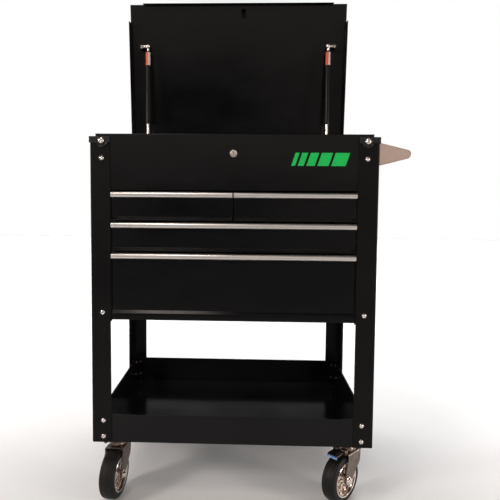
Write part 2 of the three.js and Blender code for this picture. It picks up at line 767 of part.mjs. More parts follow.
// Swivel of each caster about z, as it stands: 0 trails straight forwards.
const CASTERS = [
  { corner: 'front_left', x: -1, isRear: false, swivel: -8, hasBrake: false },
  { corner: 'front_right', x: 1, isRear: false, swivel: -43, hasBrake: true },
  { corner: 'rear_left', x: -1, isRear: true, swivel: 14, hasBrake: false },
  { corner: 'rear_right', x: 1, isRear: true, swivel: -20, hasBrake: true },
];

function addCasters() {
  for (const { corner, x, isRear, swivel, hasBrake } of CASTERS) {
    const caster = new THREE.Group();
    const y = isRear ? LEG_SPAN_Y - SWIVEL_INSET : SWIVEL_INSET;
    caster.position.set(x * SWIVEL_X, y, 0);
    caster.rotation.z = THREE.MathUtils.degToRad(swivel);
    chest.add(caster);
    const unturned = -caster.rotation.z;
    addPiece(caster, `caster_plate_${corner}`, casterPlate(unturned), ZINC);
    addPiece(caster, `caster_fork_${corner}`, casterFork(hasBrake), ZINC);
    if (hasBrake) {
      addPiece(caster, `brake_pedal_${corner}`, brakePedal(), BLACK_PLASTIC);
    }
    const wheel = new THREE.Group();
    wheel.position.set(0, -CASTER_TRAIL, WHEEL_RADIUS);
    wheel.rotation.y = Math.PI / 2;
    caster.add(wheel);
    addPiece(wheel, `tyre_${corner}`, tyreShape(), RUBBER);
    addPiece(wheel, `rim_${corner}`, rimShape(), CHROME);
  }
}

// ---------------------------------------------------------------- assembly
addLegs();
addCornerCaps();
addTray();
addCabinetShell();
addFrontPanel();
addLock();
addSlideRacks();
addDrawerDivider();
addDrawers();

const lid = new THREE.Group();
lid.position.set(0, HINGE_Y, HINGE_Z);
lid.rotation.x = -LID_OPEN;
chest.add(lid);
addHinge(lid);
addLidPanel(lid);
addLatchCatch(lid);
addStruts(lid);
addHandle();
addCasters();

// The part's origin is on the floor, under the middle of its bounding box.
const bounds = new THREE.Box3().setFromObject(chest, true);
const centre = bounds.getCenter(new THREE.Vector3());
chest.position.set(-centre.x, -centre.y, -bounds.min.z);

export default chest;
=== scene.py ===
"""Rolling tool chest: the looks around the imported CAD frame. Metres, +Z up, the drawers face -Y."""

import json
import math

import bmesh
import bpy
from mathutils import Matrix, Vector

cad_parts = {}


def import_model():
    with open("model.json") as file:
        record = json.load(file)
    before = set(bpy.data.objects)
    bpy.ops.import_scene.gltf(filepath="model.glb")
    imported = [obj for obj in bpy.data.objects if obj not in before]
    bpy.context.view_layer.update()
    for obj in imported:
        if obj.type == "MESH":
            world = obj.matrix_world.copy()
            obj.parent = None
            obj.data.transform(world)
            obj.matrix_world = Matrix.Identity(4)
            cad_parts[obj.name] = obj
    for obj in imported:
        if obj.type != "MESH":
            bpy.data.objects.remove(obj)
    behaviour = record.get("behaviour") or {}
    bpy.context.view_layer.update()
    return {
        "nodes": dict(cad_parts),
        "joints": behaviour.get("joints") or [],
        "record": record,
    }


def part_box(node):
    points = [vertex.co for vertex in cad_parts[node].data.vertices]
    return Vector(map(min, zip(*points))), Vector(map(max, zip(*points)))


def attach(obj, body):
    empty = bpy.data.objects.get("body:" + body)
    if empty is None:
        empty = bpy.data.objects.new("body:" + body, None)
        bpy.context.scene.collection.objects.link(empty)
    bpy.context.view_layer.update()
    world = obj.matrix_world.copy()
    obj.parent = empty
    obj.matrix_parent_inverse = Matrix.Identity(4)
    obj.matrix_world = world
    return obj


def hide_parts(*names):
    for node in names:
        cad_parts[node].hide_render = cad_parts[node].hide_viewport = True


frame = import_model()
NODES = frame["nodes"]
JOINTS = {joint["name"]: joint for joint in frame["joints"]}
BODIES = frame["record"]["behaviour"]["bodies"]
BODY_OF = {node: body for body, nodes in BODIES.items() for node in nodes}

UP = Vector((0, 0, 1))
FRONT = Vector((0, -1, 0))
REAR = Vector((0, 1, 0))
SIDES = {"left": -1, "right": 1}
CORNERS = [f"{end}_{side}" for end in ("front", "rear") for side in SIDES]

LEG_LOW, LEG_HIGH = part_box("leg_front_left")
LEG_GAUGE = 0.0025  # thickness of the legs' sheet
FACE_Y = LEG_LOW.y  # front face of the legs
CENTRE_X = (LEG_LOW.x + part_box("leg_front_right")[1].x) / 2


# ---------------------------------------------------------------- materials
def shader(name, color, roughness, metallic=0.0, **constants):
    """A material, its node tree and its shader. Constants are the shader's sockets, _ for each space."""
    material = bpy.data.materials.new(name)
    material.use_nodes = True
    surface = material.node_tree.nodes["Principled BSDF"]
    surface.inputs["Base Color"].default_value = (*color, 1)
    surface.inputs["Roughness"].default_value = roughness
    surface.inputs["Metallic"].default_value = metallic
    for socket, value in constants.items():
        surface.inputs[socket.replace("_", " ")].default_value = value
    return material, material.node_tree, surface


def grid(tree, stretch=(1, 1, 1)):
    """The piece's own coordinates, stretched."""
    place = tree.nodes.new("ShaderNodeTexCoord")
    mapping = tree.nodes.new("ShaderNodeMapping")
    mapping.inputs["Scale"].default_value = stretch
    tree.links.new(place.outputs["Object"], mapping.inputs["Vector"])
    return mapping.outputs["Vector"]


def noise(tree, scale, detail=3.0, stretch=(1, 1, 1), harsh=0.5):
    node = tree.nodes.new("ShaderNodeTexNoise")
    node.inputs["Scale"].default_value = scale
    node.inputs["Detail"].default_value = detail
    node.inputs["Roughness"].default_value = harsh
    tree.links.new(grid(tree, stretch), node.inputs["Vector"])
    return node.outputs["Fac"]


def cells(tree, scale, output="Distance"):
    node = tree.nodes.new("ShaderNodeTexVoronoi")
    node.inputs["Scale"].default_value = scale
    tree.links.new(grid(tree), node.inputs["Vector"])
    return node.outputs[output]


def spread(tree, value, low, high, start=0.3, end=0.7):
    """low where the value is start, high where it is end."""
    node = tree.nodes.new("ShaderNodeMapRange")
    for socket, number in zip(("From Min", "From Max", "To Min", "To Max"), (start, end, low, high)):
        node.inputs[socket].default_value = number
    tree.links.new(value, node.inputs["Value"])
    return node.outputs["Result"]


def total(tree, first, second, operation="ADD"):
    """Two sockets or numbers, added up or put together by another operation."""
    node = tree.nodes.new("ShaderNodeMath")
    node.operation = operation
    for socket, value in zip(node.inputs, (first, second)):
        if isinstance(value, float):
            socket.default_value = value
        else:
            tree.links.new(value, socket)
    return node.outputs["Value"]


def tint(tree, value, dark, light, start=0.3, end=0.7):
    node = tree.nodes.new("ShaderNodeValToRGB")
    node.color_ramp.elements[0].position = start
    node.color_ramp.elements[0].color = (*dark, 1)
    node.color_ramp.elements[1].position = end
    node.color_ramp.elements[1].color = (*light, 1)
    tree.links.new(value, node.inputs["Fac"])
    return node.outputs["Color"]


def colored(tree, surface, value, *ramp):
    tree.links.new(tint(tree, value, *ramp), surface.inputs["Base Color"])


def roughened(tree, surface, value, *ramp):
    tree.links.new(spread(tree, value, *ramp), surface.inputs["Roughness"])


def bump(tree, surface, *layers):
    """Layers of (height, strength, distance), laid over one another."""
    below = None
    for height, strength, distance in layers:
        node = tree.nodes.new("ShaderNodeBump")
        node.inputs["Strength"].default_value = strength
        node.inputs["Distance"].default_value = distance
        tree.links.new(height, node.inputs["Height"])
        if below:
            tree.links.new(below, node.inputs["Normal"])
        below = node.outputs["Normal"]
    tree.links.new(below, surface.inputs["Normal"])


def gloss_paint(name, shade, roughness):
    """Oven-baked enamel: orange peel, faint wiping marks and a little settled dust."""
    material, tree, surface = shader(name, shade, roughness, IOR=1.34, Specular_IOR_Level=0.38)
    wiped = noise(tree, 5, 6, (1, 1, 2.2), 0.6)
    dust = spread(tree, noise(tree, 900, 2), 0.0, 0.10, 0.62, 0.80)
    smear = spread(tree, wiped, roughness - 0.04, roughness + 0.07)
    tree.links.new(total(tree, smear, dust), surface.inputs["Roughness"])
    lighter = tuple(part * 1.7 + 0.0008 for part in shade)
    colored(tree, surface, wiped, shade, lighter, 0.35, 0.8)
    bump(tree, surface, (noise(tree, 230, 2), 0.10, 0.0006), (noise(tree, 3.0, 1), 0.05, 0.012))
    return material


def powder_coat():
    """Satin powder coat: a fine pebbled skin, rubbed smoother here and there."""
    shade = (0.0026, 0.0026, 0.0029)
    material, tree, surface = shader("powder_black", shade, 0.42, IOR=1.33, Specular_IOR_Level=0.3)
    rubbed = noise(tree, 9, 5, (1, 1, 0.5), 0.6)
    roughened(tree, surface, rubbed, 0.36, 0.50)
    colored(tree, surface, rubbed, (0.0018, 0.0018, 0.0021), (0.0036, 0.0035, 0.0035))
    bump(tree, surface, (noise(tree, 620, 3), 0.22, 0.0005), (cells(tree, 1500), 0.10, 0.0002))
    return material


def black_plastic():
    """Moulded plastic with a fine grain."""
    material, tree, surface = shader("black_plastic", (0.006, 0.006, 0.0063), 0.26, IOR=1.46)
    grain = cells(tree, 1100)
    roughened(tree, surface, noise(tree, 30, 4), 0.20, 0.34)
    colored(tree, surface, noise(tree, 22, 4), (0.005, 0.005, 0.0053), (0.010, 0.0098, 0.0096))
    bump(tree, surface, (grain, 0.16, 0.0003), (noise(tree, 160, 3), 0.06, 0.0006))
    return material


def brushed_aluminium():
    """Anodised extrusion, brushed along its length."""
    material, tree, surface = shader("aluminium", (0.80, 0.77, 0.74), 0.27, 1.0)
    streaks = noise(tree, 1, 6, (14, 1900, 1900), 0.65)
    wide = noise(tree, 1, 3, (3, 260, 260))
    roughened(tree, surface, total(tree, streaks, wide), 0.20, 0.40, 0.7, 1.3)
    colored(tree, surface, streaks, (0.70, 0.67, 0.64), (0.86, 0.835, 0.81))
    bump(tree, surface, (streaks, 0.10, 0.0002), (wide, 0.06, 0.0004))
    return material


def zinc_plate(name, dark, light, low, high):
    """Plated steel: clouded crystals, fingermarks and fine draw lines."""
    material, tree, surface = shader(name, light, low, 1.0)
    crystals = cells(tree, 260, "Color")
    clouds = noise(tree, 45, 5, harsh=0.6)
    mixed = total(tree, spread(tree, crystals, 0.0, 0.35, 0.0, 1.0), clouds)
    colored(tree, surface, mixed, dark, light, 0.35, 1.0)
    roughened(tree, surface, mixed, high, low, 0.35, 1.0)
    bump(tree, surface, (clouds, 0.10, 0.0006), (noise(tree, 1, 4, (900, 900, 40)), 0.06, 0.0002))
    return material


def chrome():
    """Bright plating with faint smudges."""
    material, tree, surface = shader("chrome", (0.89, 0.82, 0.76), 0.08, 1.0)
    smudge = noise(tree, 70, 5, harsh=0.65)
    roughened(tree, surface, smudge, 0.05, 0.20)
    colored(tree, surface, smudge, (0.94, 0.86, 0.80), (0.78, 0.69, 0.63))
    bump(tree, surface, (smudge, 0.04, 0.0004))
    return material


def tyre_rubber():
    """Moulded rubber with a dull bloom, dusty where it has rolled."""
    shade = (0.006, 0.0058, 0.0058)
    material, tree, surface = shader("tyre", shade, 0.5, IOR=1.4, Specular_IOR_Level=0.35)
    bloom = noise(tree, 38, 5, harsh=0.62)
    roughened(tree, surface, bloom, 0.40, 0.66)
    colored(tree, surface, bloom, (0.0042, 0.0041, 0.0042), (0.0095, 0.0088, 0.0085))
    bump(tree, surface, (noise(tree, 750, 3), 0.20, 0.0004), (noise(tree, 55, 3), 0.12, 0.0012))
    return material


def foam_grip():
    """Foamed rubber: an open-celled skin whose pits are painted darker as shade, and a dull sheen."""
    shade = (0.013, 0.013, 0.013)
    material, tree, surface = shader("handle_grip", shade, 0.72, Sheen_Weight=0.15, Sheen_Roughness=0.5)
    pore_pits_and_shade = cells(tree, 1400)
    roughened(tree, surface, noise(tree, 60, 4), 0.62, 0.82)
    # The pits are coloured darker than the skin round them: painted shade.
    colored(tree, surface, pore_pits_and_shade, (0.006, 0.006, 0.006), (0.018, 0.0178, 0.0175), 0.0, 0.5)
    bump(tree, surface, (pore_pits_and_shade, 0.35, 0.0004))
    return material


def print_and_shade_film(name, dark, light, roughness):
    """Printed vinyl, with a slight mottle in the ink; the same recipe makes the near-black painted shade in
    the key slot.
    """
    material, tree, surface = shader(name, light, roughness, IOR=1.45)
    mottle = noise(tree, 420, 3)
    colored(tree, surface, mottle, dark, light)
    roughened(tree, surface, mottle, roughness - 0.05, roughness + 0.1)
    bump(tree, surface, (noise(tree, 700, 2), 0.05, 0.0002))
    return material


LOOKS = {
    "gloss_black": gloss_paint("gloss_black", (0.0030, 0.0030, 0.0033), 0.13),
    "powder_black": powder_coat(),
    "black_plastic": black_plastic(),
    "strut_black": gloss_paint("strut_black", (0.0020, 0.0020, 0.0019), 0.30),
    "aluminium": brushed_aluminium(),
    "zinc": zinc_plate("zinc", (0.115, 0.088, 0.074), (0.25, 0.195, 0.165), 0.22, 0.40),
    "chrome": chrome(),
    "handle_steel": zinc_plate("handle_steel", (0.66, 0.50, 0.43), (0.78, 0.61, 0.53), 0.30, 0.44),
    "handle_grip": foam_grip(),
    "tyre": tyre_rubber(),
}
GREEN_FILM = print_and_shade_film("green_film", (0.0, 0.44, 0.075), (0.003, 0.56, 0.10), 0.40)
ORANGE_FILM = print_and_shade_film("orange_film", (0.55, 0.06, 0.012), (0.80, 0.11, 0.025), 0.32)
SILVER_FILM = print_and_shade_film("silver_film", (0.46, 0.44, 0.42), (0.74, 0.71, 0.68), 0.30)
BLUE_FILM = print_and_shade_film("blue_film", (0.10, 0.20, 0.46), (0.28, 0.50, 0.86), 0.24)
# The key slot's floor: a near-black sheet that is painted shade of the deep keyway.
PAINTED_SLOT_SHADE = print_and_shade_film("painted_keyway_shade", (0.0015, 0.0015, 0.0015), (0.003, 0.003, 0.003), 0.6)


# ---------------------------------------------------------------- mesh helpers
ON_AXIS = 1e-7  # a smaller radius is a single point
HEXAGON = math.pi / 6  # half the angle of one of its sides
SAME_POINT = 2e-6
SAME_PLANE = math.radians(0.5)
FOLD_LENGTH = 0.4  # a folded edge is longer than this
FOLD_NEAR = 1e-4  # and this close to the corner of its node's box
ACROSS = Matrix(((0, 0, 1), (1, 0, 0), (0, 1, 0))).to_4x4()  # lays an outline in y and z


def facing(point, direction, across=None):
    """A place at point whose z runs along direction, and whose x runs along across if it's given."""
    z = Vector(direction).normalized()
    x = Vector(across) if across else (UP if abs(z.z) < 0.9 else FRONT).cross(z)
    x = (x - z * x.dot(z)).normalized()
    y = z.cross(x)
    return Matrix.Translation(Vector(point)) @ Matrix((x, y, z)).transposed().to_4x4()


def revolve(bm, profile, steps, place=Matrix()):
    """Turns (radius, height) points about the place's z. A profile that ends where it starts is a ring,
    and a point with a third value is a hexagon."""
    closed = profile[0] == profile[-1]
    rings = []
    for point in profile[:-1] if closed else profile:
        radius, height = point[:2]
        if radius < ON_AXIS:
            rings.append([bm.verts.new(place @ Vector((0, 0, height)))])
            continue
        ring = []
        for step in range(steps):
            angle = 2 * math.pi * step / steps
            reach = radius
            if len(point) > 2:
                reach *= math.cos(HEXAGON) / math.cos(angle % (2 * HEXAGON) - HEXAGON)
            spot = Vector((reach * math.cos(angle), reach * math.sin(angle), height))
            ring.append(bm.verts.new(place @ spot))
        rings.append(ring)
    pairs = list(zip(rings, rings[1:]))
    if closed:
        pairs.append((rings[-1], rings[0]))
    for low, high in pairs:
        for step in range(steps):
            after = step + 1
            corners = [low[step % len(low)], low[after % len(low)]]
            corners += [high[after % len(high)], high[step % len(high)]]
            bm.faces.new(list(dict.fromkeys(corners)))


def extrude(bm, outline, depth, place=Matrix()):
    """A plate with that outline in the place's x and y, depth thick along z."""
    low = [bm.verts.new(place @ Vector((u, v, 0))) for u, v in outline]
    high = [bm.verts.new(place @ Vector((u, v, depth))) for u, v in outline]
    bm.faces.new(low[::-1])
    bm.faces.new(high)
    for index in range(len(outline)):
        after = (index + 1) % len(outline)
        bm.faces.new([low[index], low[after], high[after], high[index]])
    return low + high


def block(bm, low, high, place=Matrix()):
    """A box between two corners of the place, to be softened by its caller."""
    outline = [(low[0], low[1]), (high[0], low[1]), (high[0], high[1]), (low[0], high[1])]
    return extrude(bm, outline, high[2] - low[2], place @ Matrix.Translation((0, 0, low[2])))


def sweep(bm, path, radius):
    """A round bar along a path of points."""
    sides = 8
    points = [Vector(point) for point in path]
    rings = []
    for index, point in enumerate(points):
        run = points[min(index + 1, len(points) - 1)] - points[max(index - 1, 0)]
        place = facing(point, run)
        ring = []
        for side in range(sides):
            angle = 2 * math.pi * side / sides
            ring.append(bm.verts.new(place @ Vector((radius * math.cos(angle), radius * math.sin(angle), 0))))
        rings.append(ring)
    for low, high in zip(rings, rings[1:]):
        for side in range(sides):
            after = (side + 1) % sides
            bm.faces.new([low[side], low[after], high[after], high[side]])
    bm.faces.new(rings[0][::-1])
    bm.faces.new(rings[-1])


def bevel(bm, edges, radius, segments, profile):
    """Rounds edges; a profile of 0.5 is a true arc, and a larger one is fuller."""
    bmesh.ops.bevel(
        bm, geom=edges, offset=radius, segments=segments, profile=profile, affect="EDGES", clamp_overlap=False
    )


def soften(bm, verts, radius, segments=2, angle=30.0):
    """Rounds the edges among these vertices that turn by more than the angle."""
    chosen = set(verts)
    bm.normal_update()
    limit = math.radians(angle)
    edges = [edge for edge in bm.edges if chosen.issuperset(edge.verts) and edge.calc_face_angle(0) > limit]
    bevel(bm, edges, radius, segments, 0.6)


def arc(centre, radius, start, end, steps):
    """Points of an arc, in degrees."""
    turns = [math.radians(start + (end - start) * step / steps) for step in range(steps + 1)]
    return [(centre[0] + radius * math.cos(turn), centre[1] + radius * math.sin(turn)) for turn in turns]


def mirrored(lower, middle=()):
    """A ring's closed profile, from the (radius, height) points of its lower half."""
    profile = [*lower, *middle, *((radius, -height) for radius, height in reversed(lower))]
    return profile + profile[:1]


def raised(place, height):
    """The same place, moved along its own z."""
    return place @ Matrix.Translation((0, 0, height))


def piece(name, bm, slot, body, stands_for=(), sharp=35.0, material=None, even=False):
    """Makes the mesh a piece that rides on a body and takes the finish of a slot.
    Edges sharper than sharp, in degrees, stay crisp; even evens out the shading of flat faces."""
    bmesh.ops.recalc_face_normals(bm, faces=bm.faces[:])
    mesh = bpy.data.meshes.new(name)
    bm.to_mesh(mesh)
    bm.free()
    mesh.materials.append(material or LOOKS[slot])
    mesh.shade_smooth()
    mesh.set_sharp_from_angle(angle=math.radians(sharp))
    made = bpy.data.objects.new(name, mesh)
    bpy.context.scene.collection.objects.link(made)
    if even:
        made.modifiers.new("even_shading", "WEIGHTED_NORMAL").keep_sharp = True
    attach(made, body)
    if stands_for:
        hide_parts(*stands_for)
    return made


def dressed(node, slot, radius=0.0004, segments=2, angle=30.0, fold=None):
    """The CAD node's shape with its edges rounded, shown in the node's place.
    fold is a bend's radius for the long edge at its upper front."""
    bm = bmesh.new()
    bm.from_mesh(NODES[node].data)
    bmesh.ops.remove_doubles(bm, verts=bm.verts[:], dist=SAME_POINT)
    bmesh.ops.dissolve_limit(bm, angle_limit=SAME_PLANE, verts=bm.verts[:], edges=bm.edges[:])
    if fold:
        low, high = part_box(node)
        corner = Vector((low.y, high.z))
        near = {vert for vert in bm.verts if (vert.co.yz - corner).length < FOLD_NEAR}
        along = [edge for edge in bm.edges if near.issuperset(edge.verts)]
        bevel(bm, [edge for edge in along if edge.calc_length() > FOLD_LENGTH], fold, 6, 0.5)
    soften(bm, bm.verts[:], radius, segments, angle)
    return piece(f"{node}_shape", bm, slot, BODY_OF[node], (node,), 50.0, even=True)


# ---------------------------------------------------------------- fasteners
def button_bolt(bm, place, radius, height):
    """A domed head with a hexagon socket, standing on the place's xy plane."""
    socket = radius * 0.46
    socket_floor = height * 0.42
    profile = [(0, socket_floor), (socket, socket_floor, 6)]
    profile += [(socket, height * 0.93, 6), (socket * 1.12, height)]
    for degrees in range(60, -1, -10):
        turn = math.radians(degrees)
        profile.append((radius * math.cos(turn), height * (0.25 + 0.75 * math.sin(turn))))
    revolve(bm, profile + [(radius, 0), (0, 0)], 24, place)


def hex_nut(bm, place, radius, height, stud):
    """A chamfered nut with the end of its bolt standing out of it."""
    profile = [(0, 0), (radius, 0, 6), (radius, height * 0.86, 6), (radius * 0.84, height)]
    profile += [(stud, height), (stud, height * 1.25), (stud * 0.8, height * 1.35), (0, height * 1.35)]
    revolve(bm, profile, 24, place)


def washer(bm, place, radius, height):
    """A thin disc with a worn edge, under a bolt or nut."""
    profile = [(0, 0), (radius, 0), (radius, height * 0.7), (radius * 0.95, height), (0, height)]
    revolve(bm, profile, 28, place)


BOLT_RADIUS = 0.0055
BOLT_HEAD = 0.0032
BOLT_LIFT = 0.0007  # the head stands on its washer
SIDE_BOLT_HEAD = 0.0019
WASHER_RADIUS = 0.0078
WASHER_HEIGHT = 0.0008
TRAY_NUT = (0.0055, 0.004, 0.0028)  # radius, height, stud
BOLT_IN = 0.030  # from the leg's outer side to the bolts in its front flange
SIDE_BOLT_IN = 0.0145  # from its front or rear face to those in its side flange
BOLT_HEIGHTS = (0.0165, 0.059, 0.346, 0.742)  # above the leg's foot
TRAY_BOLTS_BELOW = 0.1  # the nuts of the lower two show over the tray
FLANGE_STACK = 0.0043  # from the leg's face through the tray's wall
NUT_LIFT = 0.0012
SLEEVE_GAP = 0.0115  # between the leg's side flange and the cabinet
SIDE_SHEET = 0.0016
SLEEVE_EDGE = 0.0005
SLEEVE = [(0, 0), (0.0078, 0), (0.0082, SLEEVE_EDGE), (0.0082, SLEEVE_GAP - SLEEVE_EDGE)]
SLEEVE += [(0.0078, SLEEVE_GAP), (0, SLEEVE_GAP)]


def leg_fasteners(corner):
    """Bolts, washers, nuts and spacer sleeves that hold one leg to the tray and the cabinet."""
    low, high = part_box(f"leg_{corner}")
    side = SIDES[corner.split("_")[1]]
    end = REAR if corner.startswith("rear") else FRONT
    face_y = high.y if end is REAR else low.y
    side_y = face_y - end.y * SIDE_BOLT_IN
    outer_x = high.x if side > 0 else low.x
    bolt_x = outer_x - side * BOLT_IN
    outward = Vector((side, 0, 0))
    bolts, washers, nuts, sleeves = (bmesh.new() for _ in range(4))
    for height in BOLT_HEIGHTS:
        z = low.z + height
        head = facing((bolt_x, face_y, z), end)
        washer(washers, head, WASHER_RADIUS, WASHER_HEIGHT)
        button_bolt(bolts, raised(head, BOLT_LIFT), BOLT_RADIUS, BOLT_HEAD)
        button_bolt(bolts, facing((outer_x, side_y, z), outward), BOLT_RADIUS, SIDE_BOLT_HEAD)
        revolve(sleeves, SLEEVE, 24, facing((outer_x - side * LEG_GAUGE, side_y, z), -outward))
        if height < TRAY_BOLTS_BELOW:
            behind = facing((bolt_x, face_y - end.y * FLANGE_STACK, z), -end)
            hex_nut(nuts, raised(behind, NUT_LIFT), *TRAY_NUT)
            within_x = outer_x - side * (LEG_GAUGE + SLEEVE_GAP + SIDE_SHEET)
            hex_nut(nuts, facing((within_x, side_y, z), -outward), *TRAY_NUT)
    piece(f"leg_bolts_{corner}", bolts, "chrome", "root", sharp=40)
    piece(f"leg_washers_{corner}", washers, "black_plastic", "root", sharp=40)
    piece(f"tray_nuts_{corner}", nuts, "zinc", "root", sharp=40)
    piece(f"leg_sleeves_{corner}", sleeves, "zinc", "root", sharp=40)


# ---------------------------------------------------------------- corner caps
CAP_BEAD = 0.0016  # the bead's radius
CAP_SKIRT = 0.013  # from the leg's top down to the bead
CAP_MARGIN = 0.002  # from the cap's corners to the bead's ends and bends
CAP_TURN = 0.003  # where the bead starts to turn the outer corner
TAB_OUT = 0.335  # from the chest's middle to the middle of the tab
TAB_DOWN = 0.012  # from the leg's top
TAB_RADIUS = 0.0125
CAP_BOLT_UP = 0.003  # above the middle of the tab
CAP_BOLT = (0.0073, 0.0045)  # radius and height
CAP_BOLT_LIFT = 0.0009
CAP_WASHER = (0.0096, 0.0010)


def corner_cap(side_name):
    """The cap over a front leg, with a moulded bead along its lower edge and round its tab."""
    side = SIDES[side_name]
    node = f"corner_cap_{side_name}"
    dressed(node, "black_plastic", 0.0005)
    low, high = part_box(node)
    lower = LEG_HIGH.z - CAP_SKIRT
    tab = Vector((CENTRE_X + side * TAB_OUT, low.y, LEG_HIGH.z - TAB_DOWN))
    sunk = CAP_BEAD * 0.4
    outer_x = high.x - sunk if side > 0 else low.x + sunk
    inner_x = low.x + CAP_MARGIN if side > 0 else high.x - CAP_MARGIN
    path = [(inner_x, low.y, lower)]
    for turn in range(0, 181, 15):
        angle = math.radians(180 + turn if side > 0 else -turn)
        z = min(lower, tab.z + TAB_RADIUS * math.sin(angle))
        path.append((tab.x + TAB_RADIUS * math.cos(angle), low.y, z))
    path.append((outer_x - side * CAP_TURN, low.y, lower))
    path += [(outer_x, low.y + CAP_MARGIN, lower), (outer_x, high.y - CAP_MARGIN, lower)]
    bead = bmesh.new()
    sweep(bead, path, CAP_BEAD)
    piece(f"corner_cap_bead_{side_name}", bead, "black_plastic", "root")
    place = facing(tab + Vector((0, 0, CAP_BOLT_UP)), FRONT)
    bolt = bmesh.new()
    button_bolt(bolt, raised(place, CAP_BOLT_LIFT), *CAP_BOLT)
    piece(f"corner_cap_bolt_{side_name}", bolt, "chrome", "root", sharp=40)
    ring = bmesh.new()
    washer(ring, place, *CAP_WASHER)
    piece(f"corner_cap_washer_{side_name}", ring, "black_plastic", "root", sharp=40)


# ---------------------------------------------------------------- drawers
SLIDE_HEIGHTS = {"upper": 0.775, "middle": 0.697, "lower": 0.575}  # middles of the drawers' slide members
SLIDE_HALF = 0.0135
DRAWER_SIDE_ROOM = 0.0146  # from the ends of a drawer's front to its box
DRAWER_FRONT_DEPTH = 0.02
PULL_GAUGE = 0.0018
PULL_RETURN = 0.002  # the foot's return, behind the middle of the nose
PULL_EDGE = 0.0003
TONGUE_DROP = 0.014  # the tongue behind the pull, let into the drawer's front
TONGUE_FRONT, TONGUE_REAR = 0.0042, 0.0023  # ahead of the pull's rear


def drawer(name):
    """Drawer with rounded folds, steel slide members on its sides and a brushed pull."""
    node = f"drawer_{name}"
    made = dressed(node, "gloss_black", 0.00035)
    made.data.materials.append(LOOKS["zinc"])
    low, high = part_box(node)
    member_z = SLIDE_HEIGHTS[name.split("_")[0]]
    for face in made.data.polygons:
        spot = face.center
        at_side = min(spot.x - low.x, high.x - spot.x) < DRAWER_SIDE_ROOM
        if at_side and spot.y > low.y + DRAWER_FRONT_DEPTH and abs(spot.z - member_z) < SLIDE_HALF:
            face.material_index = 1
    pull(name)


def pull(name):
    """Extruded rail: a round nose over a finger groove, with a return at the lower edge."""
    node = f"pull_{name}"
    low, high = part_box(node)
    radius = (high.z - low.z) / 2
    nose = (low.y + radius, high.z - radius)
    return_y = nose[0] + PULL_RETURN
    under = high.z - PULL_GAUGE
    outline = [(high.y, high.z)]
    outline += arc(nose, radius, 90, 270, 18)
    outline += [(return_y, low.z), (return_y, low.z + PULL_GAUGE)]
    outline += arc(nose, radius - PULL_GAUGE, 270, 90, 14)
    outline += [(high.y - TONGUE_FRONT, under), (high.y - TONGUE_FRONT, high.z - TONGUE_DROP)]
    outline += [(high.y - TONGUE_REAR, high.z - TONGUE_DROP), (high.y - TONGUE_REAR, under), (high.y, under)]
    bm = bmesh.new()
    verts = extrude(bm, outline, high.x - low.x, Matrix.Translation((low.x, 0, 0)) @ ACROSS)
    soften(bm, verts, PULL_EDGE)
    piece(f"{node}_shape", bm, "aluminium", BODY_OF[node], (node,), 50, even=True)


# ---------------------------------------------------------------- casters
# In a caster's own frame x runs along the axle and the wheel trails along -y.
AXLE_Z = 0.0635
TREAD_RADIUS = AXLE_Z
TRAIL = 0.030
WHEEL_HALF = 0.02125
FORK_HALF = 0.026
FORK_TOP = 0.1325
FORK_GAUGE = 0.0028
PRESSED_EDGE = 0.0005
FORK_FRONT, FORK_BACK = 0.027, -0.031
FORK_BEND = 0.0055
FORK_BOSS = 0.0150  # radius of the leg's end round the axle
SHOULDER_Z = FORK_TOP - 0.017  # foot of the bent shoulders
PLATE_HOLES = (0.0245, 0.0375)  # across and along from the swivel
PLATE_GAUGE = 0.0028
UNDER_NUT = (0.0072, 0.0012)  # a washer's radius and height
NUT_SEAT = 0.0011  # the nut stands on it
EAR_PIN_Y, EAR_PIN_Z = -0.031, FORK_TOP + 0.0065
TEETH = 4  # on the brake's pad
TOOTH_PITCH, TOOTH_WIDTH = 0.0070, 0.0036
SPOKES = 7


def caster_place(corner):
    """The caster's own frame on the floor under its swivel."""
    pivot = Vector(JOINTS[f"swivel_{corner}"]["pos_m"])
    axle = Vector(JOINTS[f"wheel_{corner}"]["axis"])
    return facing((pivot.x, pivot.y, 0), UP, axle)


def tyre(corner, wheel):
    """Crowned tread with two moulded rings, rounded shoulders and a stepped sidewall."""
    tread = []
    for step in range(17):
        along = -1 + step / 8
        drop = 0.0022 * abs(along) ** 2.4
        groove = 0.0007 if step in (4, 12) else 0.0
        tread.append((TREAD_RADIUS - drop - groove, along * (WHEEL_HALF - 0.0055)))
    sidewall = [(0.0462, 0.0034), (0.0470, 0.0010), (0.0500, 0.0004), (0.0508, 0.0012)]
    sidewall += [(0.0548, 0.0012), (0.0580, 0.0024), (0.0600, 0.0040)]
    bm = bmesh.new()
    revolve(bm, mirrored([(radius, -WHEEL_HALF + inset) for radius, inset in sidewall], tread), 72, wheel)
    piece(f"tyre_{corner}_rubber", bm, "tyre", f"wheel_{corner}", (f"tyre_{corner}",), 28)


